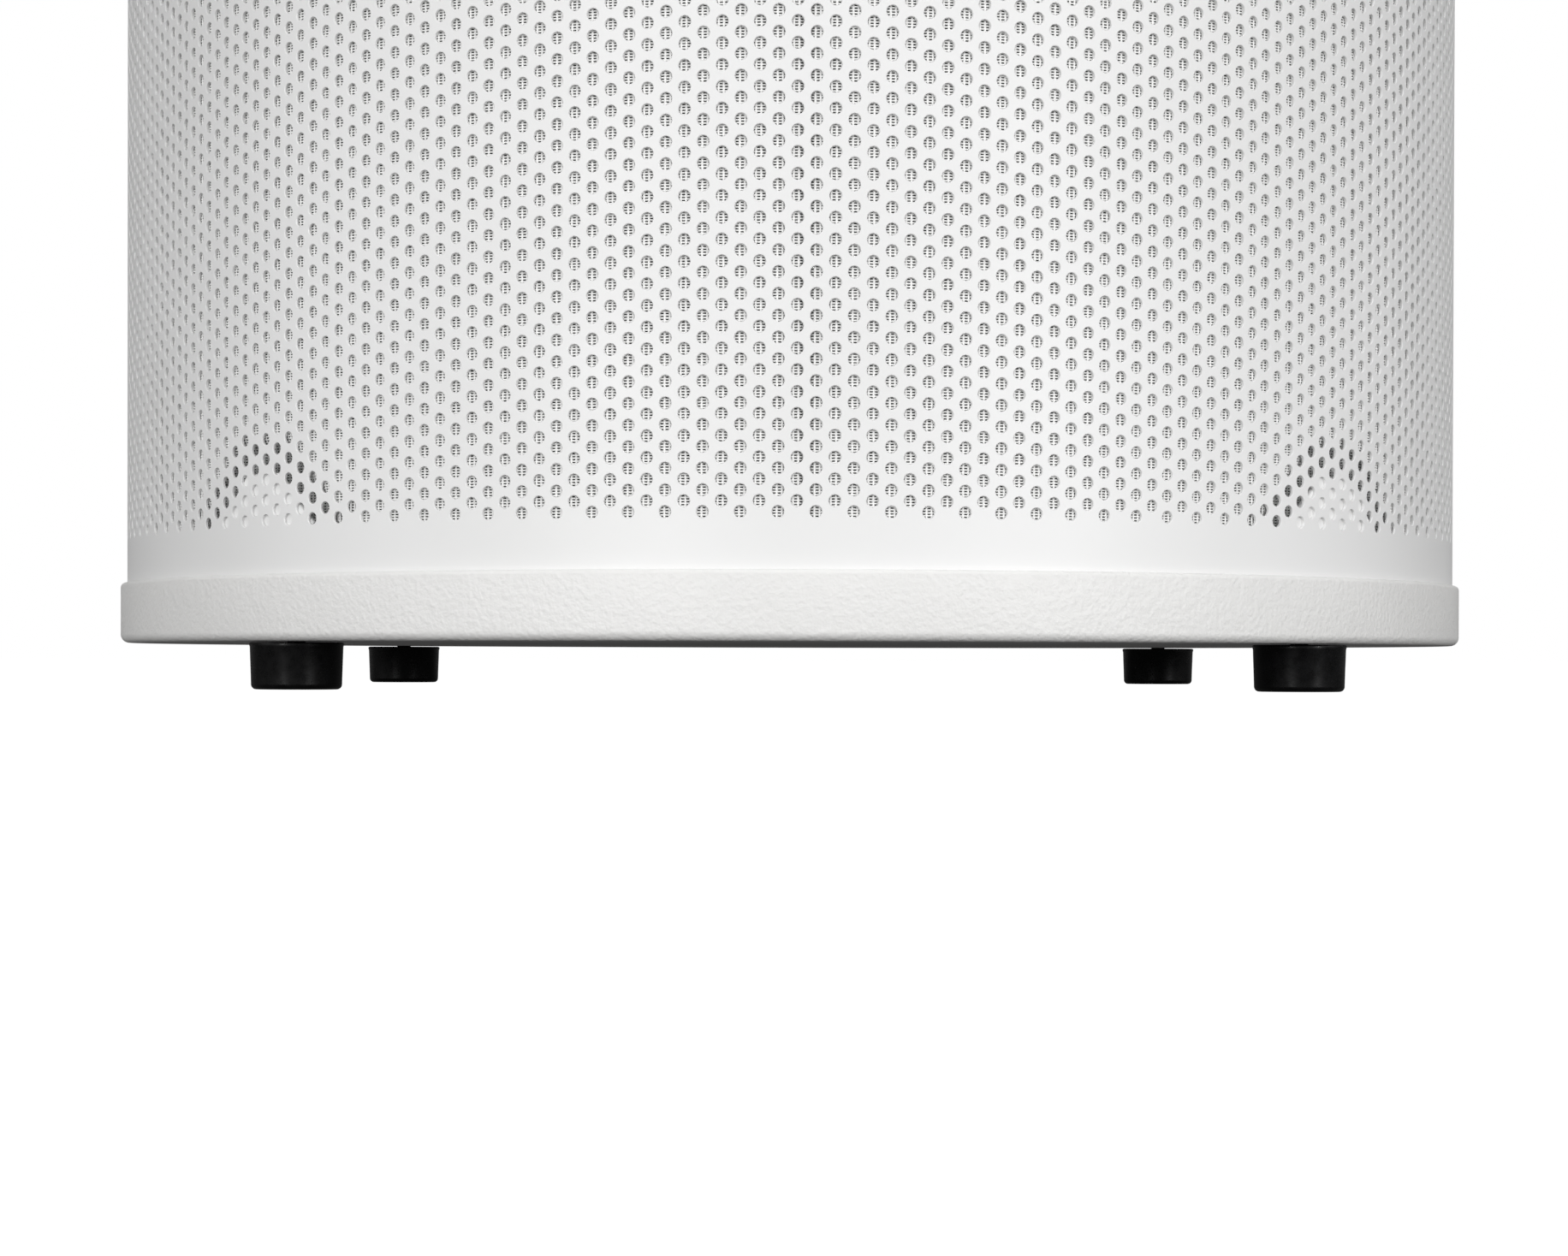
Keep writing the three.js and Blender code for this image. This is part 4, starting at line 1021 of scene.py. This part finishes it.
def run_capacitor():
    """A drawn aluminium can on its side, with a crimped end and a plastic lid."""
    low, high = box("capacitor")
    half, _, radius = (high - low) / 2
    can = [(0, -half)] + corner(radius, -half, 2.5, -90, 5)
    can += [(radius - inset, half - back) for inset, back in (
        (0, 7), (1, 6), (1, 5), (0, 4), (0, 1), (0.6, 0.4), (1.4, 1.4), (radius, 1.4))]
    cover = [(0, half - 1.8), (radius - 1.8, half - 1.8), (radius - 2, half - 0.6), (0, half - 0.4)]
    pieces = [lathe(can, ALUMINIUM, 64, sharp=30), lathe(cover, BLACK, 48)]
    finished("run_capacitor", moved(joined(pieces), (low + high) / 2, 90, "Y"), "capacitor")


deck_and_inlet()
wheel()
motor()
bracket()
run_capacitor()


# ---------------- lid and controls

BODY_TOP = 563
KNOB_Y = -118
SWITCH_X = 58
OFF_DEGREES = 225  # where the knob's pointer is when off


def around(place, half_width, half_length, low, high):
    """The corners of a box round an upright axis at place."""
    (x, y), w, d = place, half_width, half_length
    return (x - w, y - d, low), (x + w, y + d, high)


def lid():
    """The lid is a pressing like the base pan, upside down."""
    pressing = lathe([(r, BODY_TOP - z) for r, z in pan_profile()], PAN_PAINT, 192)
    low, high = BODY_TOP - 5, BODY_TOP + 5
    holes = corner_pins(FOOT_CIRCLE, SCREW_HOLE, low, high)
    # A hair off the knob's axis, because a cutter that meets the lid's own corners leaves slivers.
    holes.append(upright_pin((0.02, KNOB_Y + 0.013), 5, low, high, 48))
    holes.append(rounded_box(*around((SWITCH_X, KNOB_Y), 9.5, 12.5, low, high), PAN_PAINT, 0.5))
    finished("lid_pressing", boolean_cut(pressing, holes), "top_lid")
    for name, azimuth, (x, y) in at_corners(FOOT_CIRCLE):
        finished(f"upper_tab_{name}", corner_tab(azimuth, 22, BODY_TOP - SHEET - 0.3, True), f"lid_tab_{name}")
        screw = phillips_screw(16, (x, y, BODY_TOP + 0.3), False)
        finished(f"top_screw_{name}", screw, f"lid_screw_{name}")


def numeral(text, place):
    """A flat raised numeral in the plain built-in typeface."""
    curve = bpy.data.curves.new("numeral", "FONT")
    curve.body = text
    curve.size = 6.5 * MM
    curve.align_x = curve.align_y = "CENTER"
    curve.extrude = 0.12 * MM
    holder = linked("numeral", curve)
    graph = bpy.context.evaluated_depsgraph_get()
    data = bpy.data.meshes.new_from_object(holder.evaluated_get(graph))
    bpy.data.objects.remove(holder)
    data.materials.clear()
    data.materials.append(MARKS)
    bm = bmesh.new()
    bm.from_mesh(data)
    bmesh.ops.remove_doubles(bm, verts=bm.verts, dist=0.001 * MM)
    bm.to_mesh(data)
    bm.free()
    return moved(linked("numeral", data), place)


def dial():
    """The knob's scale: a moulded disc with a tick for each speed, and its numeral."""
    inner, outer = 7, 37
    low, high = z_range("dial_plate")
    profile = [(outer - 0.1, low)] + corner(outer, high, 0.5, 0, 4)
    profile += [(34.6, high), (34.3, high - 0.25), (33.9, high - 0.25), (33.6, high), (inner + 0.2, high),
                (inner, high - 0.2), (inner, low)]
    pieces = [lathe(profile, GREY, 128, (0, KNOB_Y), 25)]
    for i, text in enumerate("0123"):
        # The pointer turns clockwise from above, from front left through the rear.
        degrees = OFF_DEGREES - 270 * i / 3
        tick = rounded_box((21, -0.5, high - 0.2), (24.4, 0.5, high + 0.15), MARKS, 0.08, 1)
        x, y, _ = polar(29, math.radians(degrees) + QUARTER, 0)
        pieces += [moved(tick, (0, KNOB_Y, 0), degrees), numeral(text, (x, KNOB_Y + y, high))]
    finished("speed_scale", pieces, "dial_plate")


def fluted_knob():
    """A skirted knob with flutes round its grip and a white pointer line, drawn at its off position."""
    low, high = z_range("speed_knob")
    skirt, sides, bore = low + 4, 180, 3.4
    rows = [(bore, low, 0), (18.6, low, 0), (19, low + 0.4, 0), (19, skirt - 1.2, 0), (18.2, skirt - 0.2, 0),
            (16.2, skirt + 0.4, 0), (15.6, skirt + 1.4, 0.7), (15.2, skirt + 3, 1), (14.7, high - 3, 1),
            (14.4, high - 1.6, 0.6), (13.8, high - 0.5, 0.1), (12.9, high - 0.05, 0), (11.6, high - 0.3, 0),
            (6, high - 0.7, 0), (bore, high - 5, 0)]  # radius, height, share of the flutes' depth
    azimuths = np.arange(sides) * TURN / sides
    flutes = np.clip(np.cos(azimuths * 18) - 0.1, 0, None) * 0.75
    rings = [polar(r - share * flutes, azimuths + QUARTER, z) for r, z, share in rows]
    points = np.concatenate([*rings, [(0, 0, high - 0.8), (0, 0, high - 5)]]) + (0, KNOB_Y, 0)
    roof = sides * (len(rows) - 1)
    faces = [band(a, a + sides, sides) for a in range(0, roof - sides, sides)]
    faces += [band(roof, 0, sides), fan(roof - sides, roof + sides, sides),
              fan(roof, roof + sides + 1, sides)[:, ::-1]]
    pieces = [mesh_object(points, faces, BLACK, sharp=50)]
    line = (3, -0.7, high - 1), (13, 0.7, high + 0.02)
    finger = (14.5, -1.1, skirt - 0.9), (18.2, 1.1, skirt + 0.15)
    pieces += [moved(rounded_box(*bar, MARKS, 0.3), (0, KNOB_Y, 0), OFF_DEGREES) for bar in (line, finger)]
    finished("fluted_knob", pieces, "speed_knob", "knob")
    low, high = z_range("knob_shaft")
    profile = [(0, low), (2.8, low), (3, low + 0.2), (3, high - 0.6), (2.4, high), (0, high)]
    finished("control_shaft", lathe(profile, ZINC, 32, (0, KNOB_Y)), "knob_shaft", "knob")


def control_housing():
    """The speed control's closed case, with cooling ribs on its underside and sides."""
    low, high = box("control_box")
    pieces = [rounded_box(low + 0.8, high, BLACK, 1.2)]
    for x in np.linspace(low[0] + 5, high[0] - 5, 9):
        rib = (x - 0.9, low[1], low[2] + 3), (x + 0.9, high[1], high[2] - 3)
        pieces.append(rounded_box(*rib, BLACK, 0.5, 2))
    finished("control_case", pieces, "control_box")


def power_switch():
    """A snap-in rocker switch. The rocker is drawn tilted to its off side, and tilts about X."""
    low, high = box("switch_bezel")
    at = (SWITCH_X, KNOB_Y)
    pieces = [
        rounded_box((*low[:2], BODY_TOP + 0.3), high, BLACK),
        rounded_box(*around(at, 9, 12, low[2], BODY_TOP + 1), BLACK, 0.6),
    ]
    for piece in pieces:
        well = rounded_box(*around(at, 7, 10.4, BODY_TOP - 8, high[2] + 5), BLACK, 0.6)
        boolean_cut(piece, [well])
    for x in (-4, 4):
        terminal = around((SWITCH_X + x, KNOB_Y), 2.4, 0.4, low[2] - 7, low[2] + 1)
        pieces.append(rounded_box(*terminal, ZINC, 0.2, 1))
    finished("switch_housing", pieces, "switch_bezel")
    half, width = 9.2, 6.5
    top = [(share * half, 3.4 + 1.1 * share * share) for share in np.linspace(0.93, -0.93, 15)]
    loop = [(-half, -2.2), (half, -2.2), (half, 4), (half - 0.4, 4.5), *top, (0.4 - half, 4.5), (-half, 4)]
    count = len(loop)
    points = np.concatenate([np.insert(loop, 0, x, 1) for x in (-width, width)])
    ends = [np.arange(count)[::-1], np.arange(count) + count]
    on_mark = rounded_box((-0.45, 3.6, 3.6), (0.45, 7, 4), MARKS, 0.1, 1)
    off_ring = lathe([(1.2, 3.6), (1.8, 3.6), (1.8, 4), (1.2, 4)], MARKS, 32, (0, -5.4))
    rocker = mesh_object(points, [band(0, count, count), ends], BLACK, sharp=35)
    key = moved(joined([rocker, on_mark, off_ring]), (SWITCH_X, KNOB_Y, BODY_TOP - 1.5), -8, "X")
    finished("rocker_key", key, "switch_rocker", "rocker")


lid()
dial()
fluted_knob()
control_housing()
power_switch()


# ---------------- power inlet, wiring and handles


def spline(points, steps):
    """A smooth centripetal curve through points, with its directions."""
    points = np.array(points, float)
    ends = [2 * points[0] - points[1], *points, 2 * points[-1] - points[-2]]
    made = []
    for a, b, c, d in zip(ends, ends[1:], ends[2:], ends[3:]):
        knots = np.cumsum([0] + [np.linalg.norm(q - p) ** 0.5 for p, q in ((a, b), (b, c), (c, d))])
        mix = lambda p, q, i, j: ((knots[j] - t) * p + (t - knots[i]) * q) / (knots[j] - knots[i])
        for t in np.linspace(knots[1], knots[2], steps, endpoint=False):
            ab, bc, cd = mix(a, b, 0, 1), mix(b, c, 1, 2), mix(c, d, 2, 3)
            made.append(mix(mix(ab, bc, 0, 2), mix(bc, cd, 1, 3), 1, 2))
    made = np.array([*made, points[-1]])
    along = np.gradient(made, axis=0)
    return made, along / np.linalg.norm(along, axis=1)[:, None]


def tube(points, radius, material, steps=8, sides=20, ease=0.0):
    """A round bar along a path, with eased ends."""
    line, along = spline(points, steps)
    across = np.cross(along[0], (0.3, 0.2, 1))
    angles = np.arange(sides)[:, None] * TURN / sides
    sizes = np.full(len(line), radius)
    sizes[[0, -1]] -= ease
    rings = []
    for p, d, size in zip(line, along, sizes):
        across = across - d * np.dot(across, d)
        across /= np.linalg.norm(across)
        rings.append(p + size * (np.cos(angles) * across + np.sin(angles) * np.cross(d, across)))
    end = (len(line) - 1) * sides
    bands = [band(a, a + sides, sides) for a in range(0, end, sides)]
    caps = [fan(0, end + sides, sides)[:, ::-1], fan(end, end + sides + 1, sides)]
    return mesh_object(np.concatenate([*rings, line[[0, -1]]]), bands + caps, material, sharp=50)


def power_inlet():
    """An appliance inlet: a flange with two screws, a chamfered recess and three earth-first pins."""
    low, high = box("power_inlet")
    face, middle = high[1], INLET_HEIGHT
    pieces = [
        rounded_box((low[0], 189, low[2]), high, BLACK, 0.6),
        rounded_box((-14, low[1], middle - 11), (14, 190, middle + 11), BLACK),
    ]
    for piece in pieces:
        recess = rounded_box((-12, face - 16, middle - 8), (12, face + 5, middle + 8), BLACK, 1.5)
        boolean_cut(piece, [recess])
    for x, z in ((-7, middle - 1), (0, middle + 3), (7, middle - 1)):
        pieces.append(rounded_box((x - 1, face - 18, z - 2), (x + 1, face - 3, z + 2), ZINC, 0.5))
    for x in (-20, 20):
        screw = lathe([(0, 0), (2.9, 0), (2.8, 0.7), (1.8, 1.3), (0, 1.5)], ZINC, 32)
        boolean_cut(screw, cross_recess(1.6, 0.3, 0.7, 3, 0.08))
        pieces.append(moved(screw, (x, face - 0.05, middle), -90, "X"))
    finished("appliance_inlet", pieces, "power_inlet")


def wiring():
    control_low, control_rear = box("control_box")[0][2], box("control_box")[1][1]
    inlet = box("power_inlet")[0][1] - 0.3
    route = [(0, inlet, INLET_HEIGHT), (0, inlet - 4, INLET_HEIGHT), (-8, 149, 446), (-22, 146, 470),
             (-22, 140, 512), (-30, 100, 541), (-38, 20, 545), (-34, -40, 546), (-19, -75, 545.5),
             (-18, control_rear + 6, 545.5), (-18, control_rear + 0.3, 545.5)]
    finished("mains_loom", tube(route, 2.9, CABLE), "wiring_loom")
    route = [(0, -44, 496), (0, -50, 496), (0, -66, 496.5), (2, -88, 505), (6, -99, 520), (6, -100, control_low - 5),
             (6, -100, control_low - 0.3)]
    finished("fan_lead", tube(route, 1.95, CABLE), "motor_lead")


BAIL_X, BAIL_Y, BAIL_Z = 194, 66, 436  # the middle of the right rear lug's bore


def lug(side, end):
    """A machined lug on the shell, bored for the bail, whose back follows the shell."""
    nose, root_radius = 8, SHELL_RADIUS + 0.3
    heel = [(-3, -11), (-1.5, -10.6), (0, -9.4)]
    tip = [(nose * math.cos(a), nose * math.sin(a)) for a in np.radians(np.linspace(-75, 75, 15))]
    front = heel + tip + [(x, -z) for x, z in heel[::-1]]
    rim, _ = round_rim(3.7, 24)
    loops = []
    for y in BAIL_Y * end + np.linspace(-6, 6, 7):
        root = math.sqrt(root_radius ** 2 - y ** 2) - BAIL_X
        loops.append([(x, y, z) for x, z in (*front, (root, 11), (root, 0), (root, -11), *rim)])
    count, whole = len(front) + 3, len(loops[0])
    last = whole * (len(loops) - 1)
    near, far = (np.array(bridge([(x, z) for x, _, z in loop[:count]], rim)) for loop in (loops[0], loops[-1]))
    faces = []
    for a in range(0, last, whole):
        faces += [np.roll(band(a + whole, a, count), 1, 1), band(a + count, a + whole + count, len(rim))]
    faces += [near, far[:, ::-1] + last]
    made = mesh_object(np.concatenate(loops) + (BAIL_X, 0, BAIL_Z), faces, ZINC, sharp=40)
    if side < 0:
        made.data.transform(Matrix.Scale(-1, 4, (1, 0, 0)))
        made.data.flip_normals()
    ease = made.modifiers.new("edges", "BEVEL")
    ease.width = 0.4 * MM
    ease.segments = 2
    ease.limit_method = "ANGLE"
    ease.angle_limit = math.radians(50)
    return made


def handles():
    for name, side in (("right", 1), ("left", -1)):
        for end_name, end in (("front", -1), ("rear", 1)):
            finished(f"lug_{name}_{end_name}", lug(side, end), f"handle_lug_{name}_{end_name}")
        half = [(0, 73, 0), (0, 61, 0), (0, 56, -2), (0.6, 54, -8), (3.5, 54, -38), (4.5, 51, -47), (4.5, 42, -50)]
        route = half + [(x, -y, z) for x, y, z in half[::-1]]
        path = [(side * (BAIL_X + x), y, BAIL_Z + z) for x, y, z in route]
        finished(f"bail_{name}", tube(path, 2.95, ZINC, 7, 24, 0.5), f"handle_bail_{name}", f"handle_{name}")


power_inlet()
wiring()
handles()
